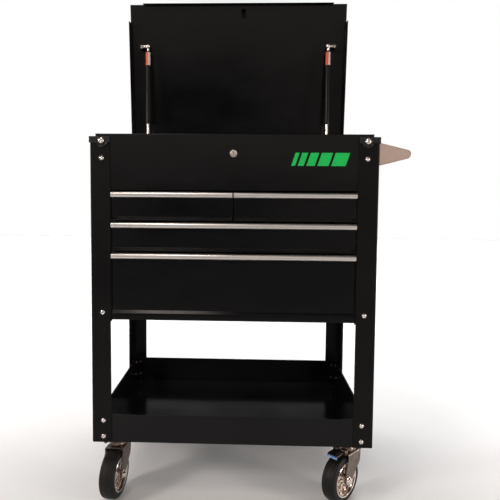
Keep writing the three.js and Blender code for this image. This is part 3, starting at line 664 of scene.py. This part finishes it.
def rim(corner, wheel):
    """Chromed rim: a lipped barrel, a hub, and forked spokes with a round boss between them."""
    face = -WHEEL_HALF
    lip = [(0.0457, face + 0.0034), (0.0459, face + 0.0012), (0.0448, face + 0.0006)]
    lip += [(0.0430, face + 0.0014), (0.0416, face + 0.0050), (0.0400, -0.0090)]
    hub = [(0.0066, face), (0.0115, face), (0.0128, face + 0.0012), (0.0140, -0.0085), (0.0165, -0.0060)]
    web = [(0.0160, -0.0016), (0.0400, -0.0016)]
    boss = [(0.0046, 0), (0.0046, 0.0020), (0.0036, 0.0026), (0.0028, 0.0016), (0, 0.0016)]
    bm = bmesh.new()
    revolve(bm, mirrored(lip, [(0.0396, 0.0)]), 56, wheel)
    revolve(bm, mirrored(hub), 40, wheel)
    revolve(bm, mirrored(web), 56, wheel)
    between = Matrix.Rotation(math.pi / SPOKES, 4, "Z")
    for index in range(SPOKES):
        for face_side in (-1, 1):
            offset = 0.5 if face_side > 0 else 0
            turned = wheel @ Matrix.Rotation(2 * math.pi * (index + offset) / SPOKES, 4, "Z")
            flip = Matrix.Rotation(math.pi if face_side < 0 else 0, 4, "X")
            spoke(bm, turned @ flip)
            revolve(bm, boss, 16, turned @ between @ flip @ Matrix.Translation((0.0325, 0, 0.0016)))
    piece(f"rim_{corner}_spoked", bm, "chrome", f"wheel_{corner}", (f"rim_{corner}",), 32)


def spoke(bm, place):
    """A raised rib from the hub that forks before it meets the barrel."""
    stem = [(0.0135, -0.0042), (0.0290, -0.0026), (0.0290, 0.0026), (0.0135, 0.0042)]
    soften(bm, extrude(bm, stem, 0.0115, place), 0.0011)
    for side in (-1, 1):
        tine = [(0.0262, side * 0.0002), (0.0408, side * 0.0062)]
        tine += [(0.0396, side * 0.0098), (0.0262, side * 0.0036)]
        soften(bm, extrude(bm, tine if side > 0 else tine[::-1], 0.0102, place), 0.0009)


def fork_channel(bm, place):
    """The bent shoulders over the wheel."""
    bend_x, bend_z = FORK_HALF - FORK_BEND, FORK_TOP - FORK_BEND
    section = [(FORK_HALF, SHOULDER_Z)]
    section += arc((bend_x, bend_z), FORK_BEND, 0, 90, 6)
    section += arc((-bend_x, bend_z), FORK_BEND, 90, 180, 6)
    section += [(-FORK_HALF, SHOULDER_Z), (-FORK_HALF + FORK_GAUGE, SHOULDER_Z)]
    section += arc((-bend_x, bend_z), FORK_BEND - FORK_GAUGE, 180, 90, 5)
    section += arc((bend_x, bend_z), FORK_BEND - FORK_GAUGE, 90, 0, 5)
    section.append((FORK_HALF - FORK_GAUGE, SHOULDER_Z))
    along = place @ Matrix.Translation((0, FORK_FRONT, 0)) @ Matrix.Rotation(math.pi / 2, 4, "X")
    soften(bm, extrude(bm, section, FORK_FRONT - FORK_BACK, along), PRESSED_EDGE)


def fork(corner, place, has_brake):
    """Pressed fork: rounded shoulders, tapered legs, a bearing race and the axle's bolt and nut."""
    node = f"caster_fork_{corner}"
    bm = bmesh.new()
    fork_channel(bm, place)
    leg_top = SHOULDER_Z + 0.001
    leg = [(FORK_FRONT, leg_top), (FORK_BACK, leg_top), (-0.0338, SHOULDER_Z - 0.004)]
    leg += arc((-TRAIL, AXLE_Z), FORK_BOSS, 180, 335, 20)
    leg += [(0.0225, FORK_TOP - 0.037), (0.0258, FORK_TOP - 0.031)]
    for x in (-FORK_HALF, FORK_HALF - FORK_GAUGE):
        verts = extrude(bm, leg, FORK_GAUGE, place @ Matrix.Translation((x, 0, 0)) @ ACROSS)
        soften(bm, verts, PRESSED_EDGE)
    race = [(0.0056, -0.0005), (0.0225, -0.0005), (0.0238, 0.0020), (0.0238, 0.0060), (0.0205, 0.0115)]
    race += [(0.0056, 0.0118), (0.0056, -0.0005)]
    revolve(bm, [(radius, FORK_TOP + height) for radius, height in race], 40, place)
    if has_brake:
        ear_foot = FORK_TOP - 0.0020
        ear = [(-0.0370, ear_foot), (-0.0370, FORK_TOP + 0.0050)]
        ear += arc((-0.0312, EAR_PIN_Z), 0.0052, 170, 10, 8)
        ear.append((-0.0255, ear_foot))
        for x in (-0.020, 0.017):
            soften(bm, extrude(bm, ear, 0.003, place @ Matrix.Translation((x, 0, 0)) @ ACROSS), 0.0004)
    piece(f"caster_fork_{corner}_pressed", bm, "zinc", BODY_OF[node], (node,), 45, even=True)
    bolts = bmesh.new()
    axle_middle = place @ Matrix.Translation((0, -TRAIL, AXLE_Z))
    for side in (-1, 1):
        outward = axle_middle @ Matrix.Rotation(side * math.pi / 2, 4, "Y")
        on_leg = raised(outward, FORK_HALF)
        washer(bolts, on_leg, 0.0105, 0.0012)
        hex_nut(bolts, raised(on_leg, NUT_SEAT), 0.0088, 0.0048, 0.0048)
        spacer = [(0, 0), (0.0095, 0), (0.0095, 0.0018), (0, 0.0018)]
        revolve(bolts, spacer, 24, raised(outward, WHEEL_HALF + 0.0002))
    piece(f"caster_axle_{corner}", bolts, "chrome", BODY_OF[node], sharp=38)


def caster_mount(corner):
    """The top plate with its fixing nuts."""
    node = f"caster_plate_{corner}"
    dressed(node, "zinc", 0.0005)
    plate_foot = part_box(node)[1].z - PLATE_GAUGE
    pivot = Vector(JOINTS[f"swivel_{corner}"]["pos_m"])
    nuts = bmesh.new()
    for x in (-PLATE_HOLES[0], PLATE_HOLES[0]):
        for y in (-PLATE_HOLES[1], PLATE_HOLES[1]):
            below = facing((pivot.x + x, pivot.y + y, plate_foot), -UP)
            washer(nuts, below, *UNDER_NUT)
            hex_nut(nuts, raised(below, NUT_SEAT), 0.0060, 0.0050, 0.0032)
    piece(f"caster_nuts_{corner}", nuts, "zinc", BODY_OF[node], sharp=38)


def brake_pedal(corner, place):
    """Black pad with raised teeth and a blue lip, on a steel lever hinged in the fork's ears."""
    node = f"brake_pedal_{corner}"
    body = BODY_OF[node]
    z = EAR_PIN_Z
    pad = bmesh.new()
    base = block(pad, (-0.0153, -0.0690, z - 0.0030), (0.0153, -0.0405, z + 0.0004), place)
    soften(pad, base, 0.0012, 3)
    for index in range(TEETH):
        x = -0.0123 + index * TOOTH_PITCH
        tooth = block(pad, (x, -0.0724, z - 0.0036), (x + TOOTH_WIDTH, -0.0430, z + 0.0018), place)
        soften(pad, tooth, 0.0007)
    piece(f"brake_pad_{corner}", pad, "black_plastic", body, (node,), 50, even=True)
    lever = bmesh.new()
    tray = block(lever, (-0.0148, -0.0708, z - 0.0045), (0.0148, -0.0400, z - 0.0029), place)
    soften(lever, tray, PRESSED_EDGE)
    neck = block(lever, (-0.0118, -0.0440, z - 0.0042), (0.0118, EAR_PIN_Y, z - 0.0018), place)
    soften(lever, neck, PRESSED_EDGE)
    barrel = [(0, 0), (0.0035, 0), (0.0040, 0.0005), (0.0040, 0.0325), (0.0035, 0.0330), (0, 0.0330)]
    pin = place @ Matrix.Translation((-0.0165, EAR_PIN_Y, z)) @ Matrix.Rotation(math.pi / 2, 4, "Y")
    revolve(lever, barrel, 24, pin)
    piece(f"brake_lever_{corner}", lever, "zinc", body, sharp=45)
    lip = bmesh.new()
    strip = block(lip, (-0.0148, -0.0716, z - 0.0092), (0.0148, -0.0702, z - 0.0020), place)
    soften(lip, strip, 0.0006)
    piece(f"brake_lip_{corner}", lip, None, body, sharp=45, material=BLUE_FILM)


# ---------------------------------------------------------------- gas struts
# In a strut's own frame z runs along the rod and the upper ball is at zero, so the tube lies below it.
STRUT_RADIUS = 0.0075
TUBE_BORE = 0.0062
TUBE_TOP = -0.017
TUBE_END = TUBE_TOP - 0.235
ROD_RADIUS = 0.004
ROD_HOLE = ROD_RADIUS + 0.0004
ROD_END = ROD_RADIUS + 0.0012
PISTON_TOP = TUBE_END + 0.052
PISTON_FOOT = PISTON_TOP - 0.008
LABEL_TOP = TUBE_TOP - 0.0030
LABEL_END = TUBE_TOP - 0.044
LABEL_SKIN = 0.00012
LABEL_SPLIT = 0.0012  # the orange band lies to the left of this, from the strut's middle
STUD_PLATE_OUT = 0.0233  # from the strut to the painted bracket that its upper stud is riveted to
BALL = [(0, -0.0068), (0.0040, -0.0068), (0.0062, -0.0052), (0.0074, -0.0026), (0.0077, 0.0)]
BALL += [(0.0074, 0.0026), (0.0062, 0.0052), (0.0040, 0.0068), (0, 0.0068)]


def strut_tube(body, place):
    """The painted cylinder, crimped at its lower end and open where the rod goes in."""
    radius = STRUT_RADIUS
    profile = [(0.0, TUBE_TOP + 0.0016), (0.0046, TUBE_TOP + 0.0016), (0.0056, TUBE_TOP + 0.0004)]
    profile += [(radius - 0.0004, TUBE_TOP - 0.0014), (radius, TUBE_TOP - 0.0026)]
    for step in range(1, 12):
        profile.append((radius, TUBE_TOP - 0.0026 - (TUBE_TOP - TUBE_END - 0.010) * step / 11))
    profile += [(radius - 0.0005, TUBE_END + 0.0070), (radius - 0.0005, TUBE_END + 0.0062)]
    profile += [(radius, TUBE_END + 0.0056), (radius - 0.0002, TUBE_END + 0.0014)]
    profile += [(radius - 0.0016, TUBE_END)]
    profile += [(ROD_HOLE, TUBE_END), (ROD_HOLE, TUBE_END + 0.006), (TUBE_BORE, TUBE_END + 0.006)]
    profile += [(TUBE_BORE, TUBE_TOP - 0.012), (0, TUBE_TOP - 0.012)]
    bm = bmesh.new()
    revolve(bm, profile, 36, place)
    piece(f"{body}_tube", bm, "strut_black", body, (body,), 32)


def strut_end(side_name, body, place, across):
    """The threaded neck and the socket round the upper ball."""
    neck = [(0, TUBE_TOP + 0.0012), (0.0046, TUBE_TOP + 0.0012), (0.0046, TUBE_TOP + 0.0030)]
    neck += [(0.0038, TUBE_TOP + 0.0036), (0.0038, -0.0075), (0.0052, -0.0058), (0, -0.0040)]
    bm = bmesh.new()
    revolve(bm, neck, 28, place)
    revolve(bm, BALL, 32, across)
    piece(f"strut_end_{side_name}", bm, "chrome", body, sharp=50)


def strut_label(side_name, body, place, middle_x):
    """A plain sticker in two colours."""
    within, skin = STRUT_RADIUS - 0.0002, STRUT_RADIUS + LABEL_SKIN
    profile = [(within, LABEL_TOP), (skin, LABEL_TOP), (skin, LABEL_END), (within, LABEL_END)]
    profile.append(profile[0])
    bm = bmesh.new()
    revolve(bm, profile, 48, place)
    sticker = piece(f"strut_label_{side_name}", bm, None, body, material=SILVER_FILM, sharp=40)
    sticker.data.materials.append(ORANGE_FILM)
    for face in sticker.data.polygons:
        if face.center.x < middle_x + LABEL_SPLIT:
            face.material_index = 1


def strut_rod(node, place, top, run):
    """The bright rod from its piston to the socket round the lower ball."""
    length = (top.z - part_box(node)[0].z - 0.0070) / run.z
    profile = [(0, PISTON_TOP), (0.0056, PISTON_TOP), (0.0056, PISTON_FOOT), (ROD_RADIUS, PISTON_FOOT)]
    profile += [(ROD_RADIUS, PISTON_FOOT - (length + PISTON_TOP - 0.020) * step / 6) for step in range(1, 7)]
    profile += [(ROD_END, -length + 0.0115), (ROD_END, -length + 0.004), (0, -length)]
    bm = bmesh.new()
    revolve(bm, profile, 32, place)
    revolve(bm, BALL, 32, facing(top - run * length, (1, 0, 0), run))
    piece(f"{node}_bright", bm, "chrome", node, (node,), 40)


def strut_studs(side_name, top):
    """The ball studs, and the nut on the upper one."""
    stud = dressed(f"strut_upper_stud_{side_name}", "chrome", 0.0004)
    stud.data.materials.append(LOOKS["gloss_black"])
    for face in stud.data.polygons:
        if abs(face.center.x - top.x) > STUD_PLATE_OUT:
            face.material_index = 1
    dressed(f"strut_lower_stud_{side_name}", "zinc", 0.0004)
    outward = Vector((SIDES[side_name], 0, 0))
    profile = [(0, 0), (0.0062, 0, 6), (0.0068, 0.0010, 6), (0.0068, 0.0050, 6)]
    profile += [(0.0058, 0.0066), (0.0030, 0.0072), (0, 0.0072)]
    nut = bmesh.new()
    revolve(nut, profile, 24, facing(top + outward * 0.0150, outward))
    piece(f"strut_stud_nut_{side_name}", nut, "chrome", "lid", sharp=40)


def gas_strut(side_name):
    """One gas strut, from the ball on the lid to the one in the box."""
    top = Vector(JOINTS[f"strut_swing_{side_name}"]["pos_m"])
    run = Vector(JOINTS[f"strut_slide_{side_name}"]["axis"])
    body = f"strut_cylinder_{side_name}"
    place = facing(top, run, (1, 0, 0))
    strut_tube(body, place)
    strut_end(side_name, body, place, facing(top, (1, 0, 0), run))
    strut_label(side_name, body, place, top.x)
    strut_rod(f"strut_rod_{side_name}", place, top, run)
    strut_studs(side_name, top)


# ---------------------------------------------------------------- push handle
ROLLED_EDGE = 0.0011
ROLL_INSET = 0.0010  # from the bracket's upper and lower edges
ROLL_START = 0.004  # from the leg
TUBE_RADIUS = 0.0102
TUBE_INNER = 0.0088
GRIP_RADIUS = 0.0110
GROOVE_RADIUS = 0.0105
GRIP_EDGE = 0.0108
BARE_ENDS = 0.026
GRIP_RIBS = 44
GRIP_LEAD = 0.006  # from the grip's ends to its ribs
TIP_MARGIN = 0.0006  # the rolled edge runs this far inside the bracket's round tip
END_BOLT = (0.0052, 0.0016)  # radius and height


def push_handle():
    """Two tapered brackets with rolled edges, and a tube in a ribbed grip between steel ends."""
    tube_low, tube_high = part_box("handle_tube")
    tip = ((tube_low.x + tube_high.x) / 2, (tube_low.z + tube_high.z) / 2)
    reach = (tube_high.x - tube_low.x) / 2 - TIP_MARGIN
    for end_name, outward in (("front", FRONT), ("rear", REAR)):
        node = f"handle_bracket_{end_name}"
        dressed(node, "handle_steel", 0.0005)
        low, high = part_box(node)
        y = low.y if outward is FRONT else high.y
        path = [(low.x + ROLL_START, y, high.z - ROLL_INSET)]
        path += [(u, y, v) for u, v in arc(tip, reach, 76, -76, 20)]
        path.append((low.x + ROLL_START, y, low.z + ROLL_INSET))
        rolled = bmesh.new()
        sweep(rolled, path, ROLLED_EDGE)
        if outward is REAR:
            button_bolt(rolled, facing((tip[0], y, tip[1]), outward), *END_BOLT)
        piece(f"{node}_rolled_edge", rolled, "handle_steel", "root", sharp=50)

    place = facing((tip[0], tube_low.y, tip[1]), REAR)
    length = tube_high.y - tube_low.y
    steel = bmesh.new()
    tube = [(TUBE_INNER, 0), (TUBE_RADIUS, 0), (TUBE_RADIUS, length), (TUBE_INNER, length), (TUBE_INNER, 0)]
    revolve(steel, tube, 40, place)
    piece("handle_tube_steel", steel, "chrome", "root", ("handle_tube",), 40)

    end = length - BARE_ENDS
    pitch = (length - 2 * (BARE_ENDS + GRIP_LEAD)) / GRIP_RIBS
    profile = [(TUBE_RADIUS, BARE_ENDS), (GRIP_EDGE, BARE_ENDS + 0.0006), (GRIP_RADIUS, BARE_ENDS + 0.004)]
    for rib in range(GRIP_RIBS):
        start = BARE_ENDS + GRIP_LEAD + rib * pitch
        profile += [(GRIP_RADIUS, start), (GRIP_RADIUS, start + pitch * 0.5)]
        profile += [(GROOVE_RADIUS, start + pitch * 0.62), (GROOVE_RADIUS, start + pitch * 0.88)]
    profile += [(GRIP_RADIUS, end - 0.004), (GRIP_EDGE, end - 0.0006), (TUBE_RADIUS, end), profile[0]]
    grip = bmesh.new()
    revolve(grip, profile, 36, place)
    piece("handle_grip_sleeve", grip, "handle_grip", "root", sharp=30)


# ---------------------------------------------------------------- lock, mark and hinge
LOCK_BORE = 0.0062
LOCK_BARREL = 0.0080
BEZEL_RADIUS = 0.0096
BEZEL_DEPTH = 0.0021
KEY_SLOT = Vector((0.00075, 0, 0.0034))  # half its width and height
KEY_SLOT_DEPTH = (0.0016, 0.0024)
MARK_FOOT, MARK_HEAD = 0.0790, 0.0462  # below the panel's top
MARK_LEFT = 0.1450  # from the chest's middle
MARK_BARS = (0.010, 0.015, 0.021, 0.028, 0.036)
MARK_GAP = 0.0065
MARK_SLANT = 0.011
MARK_FILM = 0.00018
RIVETS = 8
RIVET = [(0, 0), (0.0036, 0), (0.0035, 0.0006), (0.0026, 0.0013), (0.0012, 0.0016), (0, 0.0016)]
RIVET_ROW = 0.012  # above the fixed leaf's foot
LID_RIVET_ROW = 0.010  # below the lid leaf's head
LID_RIVET_SHIFT = 0.02  # sideways from those in the fixed leaf
LID_LEAN = math.radians(6)  # the open lid stands this far from upright


def lock():
    """The lock's bezel and barrel, the key plug, and a near-black floor in its slot that is painted shade."""
    centre = Vector(JOINTS["lock_turn"]["pos_m"])
    low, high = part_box("lock_housing")
    depth = high.y - low.y
    profile = [(LOCK_BORE, 0.0006), (LOCK_BORE + 0.0006, 0.0), (0.0078, 0.0), (0.0091, 0.0006)]
    profile += [(BEZEL_RADIUS, 0.0016), (BEZEL_RADIUS, BEZEL_DEPTH), (LOCK_BARREL, BEZEL_DEPTH)]
    profile += [(LOCK_BARREL, depth), (LOCK_BORE, depth), (LOCK_BORE, 0.0006)]
    bezel = bmesh.new()
    revolve(bezel, profile, 56, facing((centre.x, low.y, centre.z), REAR))
    piece("lock_housing_bezel", bezel, "chrome", "root", ("lock_housing",), 30)
    dressed("lock_plug", "chrome", 0.0002)
    front_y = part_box("lock_plug")[0].y
    slot_low, slot_high = centre - KEY_SLOT, centre + KEY_SLOT
    slot_low.y, slot_high.y = (front_y + inward for inward in KEY_SLOT_DEPTH)
    # The slot's floor is a near-black sheet just behind the plug's face: painted shade of the keyway.
    slot_floor = bmesh.new()
    block(slot_floor, slot_low, slot_high)
    piece("lock_key_slot", slot_floor, None, "lock", material=PAINTED_SLOT_SHADE)


def mark():
    """A plain mark in place of a badge: five slanted bars that widen to the right."""
    low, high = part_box("front_panel")
    foot, head = high.z - MARK_FOOT, high.z - MARK_HEAD
    x = CENTRE_X + MARK_LEFT
    place = facing((0, low.y, 0), FRONT, (1, 0, 0))
    bm = bmesh.new()
    for width in MARK_BARS:
        outline = [(x, foot), (x + width, foot), (x + width + MARK_SLANT, head), (x + MARK_SLANT, head)]
        soften(bm, extrude(bm, outline, MARK_FILM, place), 0.00006, 1)
        x += width + MARK_GAP
    piece("front_mark", bm, None, "root", material=GREEN_FILM)


def hinge():
    """The piano hinge's two leaves with their rivets."""
    for node in ("hinge_fixed_leaf", "hinge_lid_leaf"):
        dressed(node, "zinc", 0.0002, 1, 45)
    fixed_low, fixed_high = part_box("hinge_fixed_leaf")
    lid_low, lid_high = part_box("hinge_lid_leaf")
    lean = Vector((0, -math.cos(LID_LEAN), -math.sin(LID_LEAN)))
    rivets = bmesh.new()
    lid_rivets = bmesh.new()
    for index in range(RIVETS):
        x = fixed_low.x + (fixed_high.x - fixed_low.x) * (index + 0.5) / RIVETS
        revolve(rivets, RIVET, 20, facing((x, fixed_low.y + 0.0001, fixed_low.z + RIVET_ROW), FRONT))
        lid_spot = (x + LID_RIVET_SHIFT, lid_low.y, lid_high.z - LID_RIVET_ROW)
        revolve(lid_rivets, RIVET, 20, facing(lid_spot, lean))
    piece("hinge_rivets_fixed", rivets, "zinc", "root")
    piece("hinge_rivets_lid", lid_rivets, "zinc", "lid")


# ---------------------------------------------------------------- the object
GLOSS_SHEETS = ["lower_tray", "cabinet_side_left", "cabinet_side_right", "cabinet_back", "cabinet_floor"]
GLOSS_SHEETS += ["well_floor", "lid"]
SHEET_EDGE = 0.00045

for corner in CORNERS:
    dressed(f"leg_{corner}", "powder_black", 0.0006)
    leg_fasteners(corner)
for side_name in SIDES:
    corner_cap(side_name)
for node in GLOSS_SHEETS:
    dressed(node, "gloss_black", SHEET_EDGE)
dressed("front_panel", "gloss_black", SHEET_EDGE, fold=0.0026)
dressed("latch_catch", "powder_black", 0.0003)
dressed("drawer_divider", "powder_black", 0.0003)
for node in ("slide_rack_left", "slide_rack_right"):
    dressed(node, "zinc", 0.0003)
for name in ("upper_left", "upper_right", "middle", "lower"):
    drawer(name)
for corner in CORNERS:
    place = caster_place(corner)
    wheel = place @ Matrix.Translation((0, -TRAIL, AXLE_Z)) @ Matrix.Rotation(math.pi / 2, 4, "Y")
    has_brake = f"brake_pedal_{corner}" in NODES
    caster_mount(corner)
    fork(corner, place, has_brake)
    tyre(corner, wheel)
    rim(corner, wheel)
    if has_brake:
        brake_pedal(corner, place)
for side_name in SIDES:
    gas_strut(side_name)
push_handle()
lock()
mark()
hinge()
NODES["hinge_pin"].data.materials.clear()
NODES["hinge_pin"].data.materials.append(LOOKS["zinc"])


# ---------------------------------------------------------------- studio
WARM = (1.0, 0.90, 0.84)
DARK_AHEAD = (0.055, 0.055, 0.060)
WARM_ROOM = (0.66, 0.60, 0.555)
FLOOR_HALF = 8.0
VIEW_TURNS = (-1.945, -3.573, 0.414)  # yaw, pitch and roll in degrees
VIEW_OFFSET = (0.0338, -1.3114, 0.6553)  # from the foot of the front legs, midway between them


def floor():
    """A plain pale floor."""
    bm = bmesh.new()
    bmesh.ops.create_grid(bm, x_segments=1, y_segments=1, size=FLOOR_HALF)
    mesh = bpy.data.meshes.new("studio_floor")
    bm.to_mesh(mesh)
    bm.free()
    material, tree, surface = shader("studio_floor", (0.80, 0.80, 0.80), 0.75)
    colored(tree, surface, noise(tree, 2, 3), (0.78, 0.78, 0.78), (0.82, 0.82, 0.82))
    mesh.materials.append(material)
    made = bpy.data.objects.new("studio_floor", mesh)
    bpy.context.scene.collection.objects.link(made)


def world():
    """A white wall behind the chest, and before it a warm grey room with a dark stretch straight ahead.
    X, Y and Z are those of the direction that is looked in."""
    made = bpy.data.worlds.new("studio")
    bpy.context.scene.world = made
    made.use_nodes = True
    tree = made.node_tree
    background = tree.nodes["Background"]
    place = tree.nodes.new("ShaderNodeTexCoord")
    split = tree.nodes.new("ShaderNodeSeparateXYZ")
    tree.links.new(place.outputs["Generated"], split.inputs["Vector"])
    x, y, z = (split.outputs[axis] for axis in "XYZ")

    off_middle = total(tree, x, 0.08)
    aside = spread(tree, total(tree, off_middle, off_middle, "MULTIPLY"), 0.0, 1.0, 0.006, 0.028)
    above = spread(tree, z, 0.0, 1.0, -0.01, 0.09)
    behind = spread(tree, y, 0.0, 1.0, -0.10, 0.30)
    in_front = spread(tree, y, 1.0, 0.0, -0.10, 0.20)
    below_top = spread(tree, z, 1.0, 0.0, 0.60, 0.72)
    lit = total(tree, total(tree, aside, 0.5, "MULTIPLY"), above, "MAXIMUM")
    lit = total(tree, lit, total(tree, in_front, below_top, "MULTIPLY"), "MULTIPLY")
    room = tint(tree, lit, DARK_AHEAD, WARM_ROOM, 0.0, 1.0)

    wall_height = spread(tree, z, 1.0, 0.0, 0.335, 0.37)
    mix = tree.nodes.new("ShaderNodeMix")
    mix.data_type = "RGBA"
    tree.links.new(total(tree, behind, wall_height, "MULTIPLY"), mix.inputs["Factor"])
    tree.links.new(room, mix.inputs["A"])
    mix.inputs["B"].default_value = (1.0, 1.0, 1.0, 1)
    tree.links.new(mix.outputs["Result"], background.inputs["Color"])
    background.inputs["Strength"].default_value = 1.0


def softbox(name, spot, target, size, power, color=(1, 1, 1), spread_angle=180, across=None):
    """An area light at spot, facing target, which isn't seen by the camera."""
    light = bpy.data.lights.new(name, "AREA")
    light.shape = "RECTANGLE"
    light.size, light.size_y = size
    light.energy = power
    light.color = color
    light.spread = math.radians(spread_angle)
    made = bpy.data.objects.new(name, light)
    made.matrix_world = facing(spot, Vector(spot) - Vector(target), across)
    made.visible_camera = False
    bpy.context.scene.collection.objects.link(made)


def camera():
    """The photo's viewing angle: a little right of the middle, at the height of the drawers."""
    lens = bpy.data.cameras.new("camera")
    lens.lens = 37.31
    lens.sensor_width = 36
    lens.shift_x = 0.0426
    lens.shift_y = -0.0492
    lens.clip_start = 0.05
    yaw, pitch, roll = (math.radians(turn) for turn in VIEW_TURNS)
    ahead = Vector((math.sin(yaw) * math.cos(pitch), math.cos(yaw) * math.cos(pitch), math.sin(pitch)))
    level = Vector((math.cos(yaw), -math.sin(yaw), 0))
    above = level.cross(ahead)
    right = level * math.cos(roll) + above * math.sin(roll)
    top = above * math.cos(roll) - level * math.sin(roll)
    spot = Vector((CENTRE_X, FACE_Y, LEG_LOW.z)) + Vector(VIEW_OFFSET)
    made = bpy.data.objects.new("camera", lens)
    made.matrix_world = Matrix.Translation(spot) @ Matrix((right, top, -ahead)).transposed().to_4x4()
    bpy.context.scene.collection.objects.link(made)
    bpy.context.scene.camera = made


floor()
world()
softbox("key", (-0.62, -1.3, 2.8), (-0.1, -0.2, 0.8), (0.6, 0.75), 11, WARM)
softbox("left_front", (-2.3, -1.6, 1.5), (0, 0, 0.8), (0.5, 0.5), 13, WARM, 120)
softbox("right_front", (2.4, -1.4, 0.8), (0, 0, 0.5), (0.5, 0.8), 10, WARM, 120)
softbox("floor_wash", (0, 4.5, 4.2), (0, 4.5, 0), (13, 7.8), 520, spread_angle=80, across=(1, 0, 0))
softbox("left_low", (-2.0, 0.5, 0.5), (0, 0.1, 0), (1.2, 0.7), 10)
softbox("right_low", (2.0, 0.5, 0.5), (0, 0.1, 0), (1.2, 0.7), 10)
camera()
bpy.context.scene.view_settings.view_transform = "Standard"
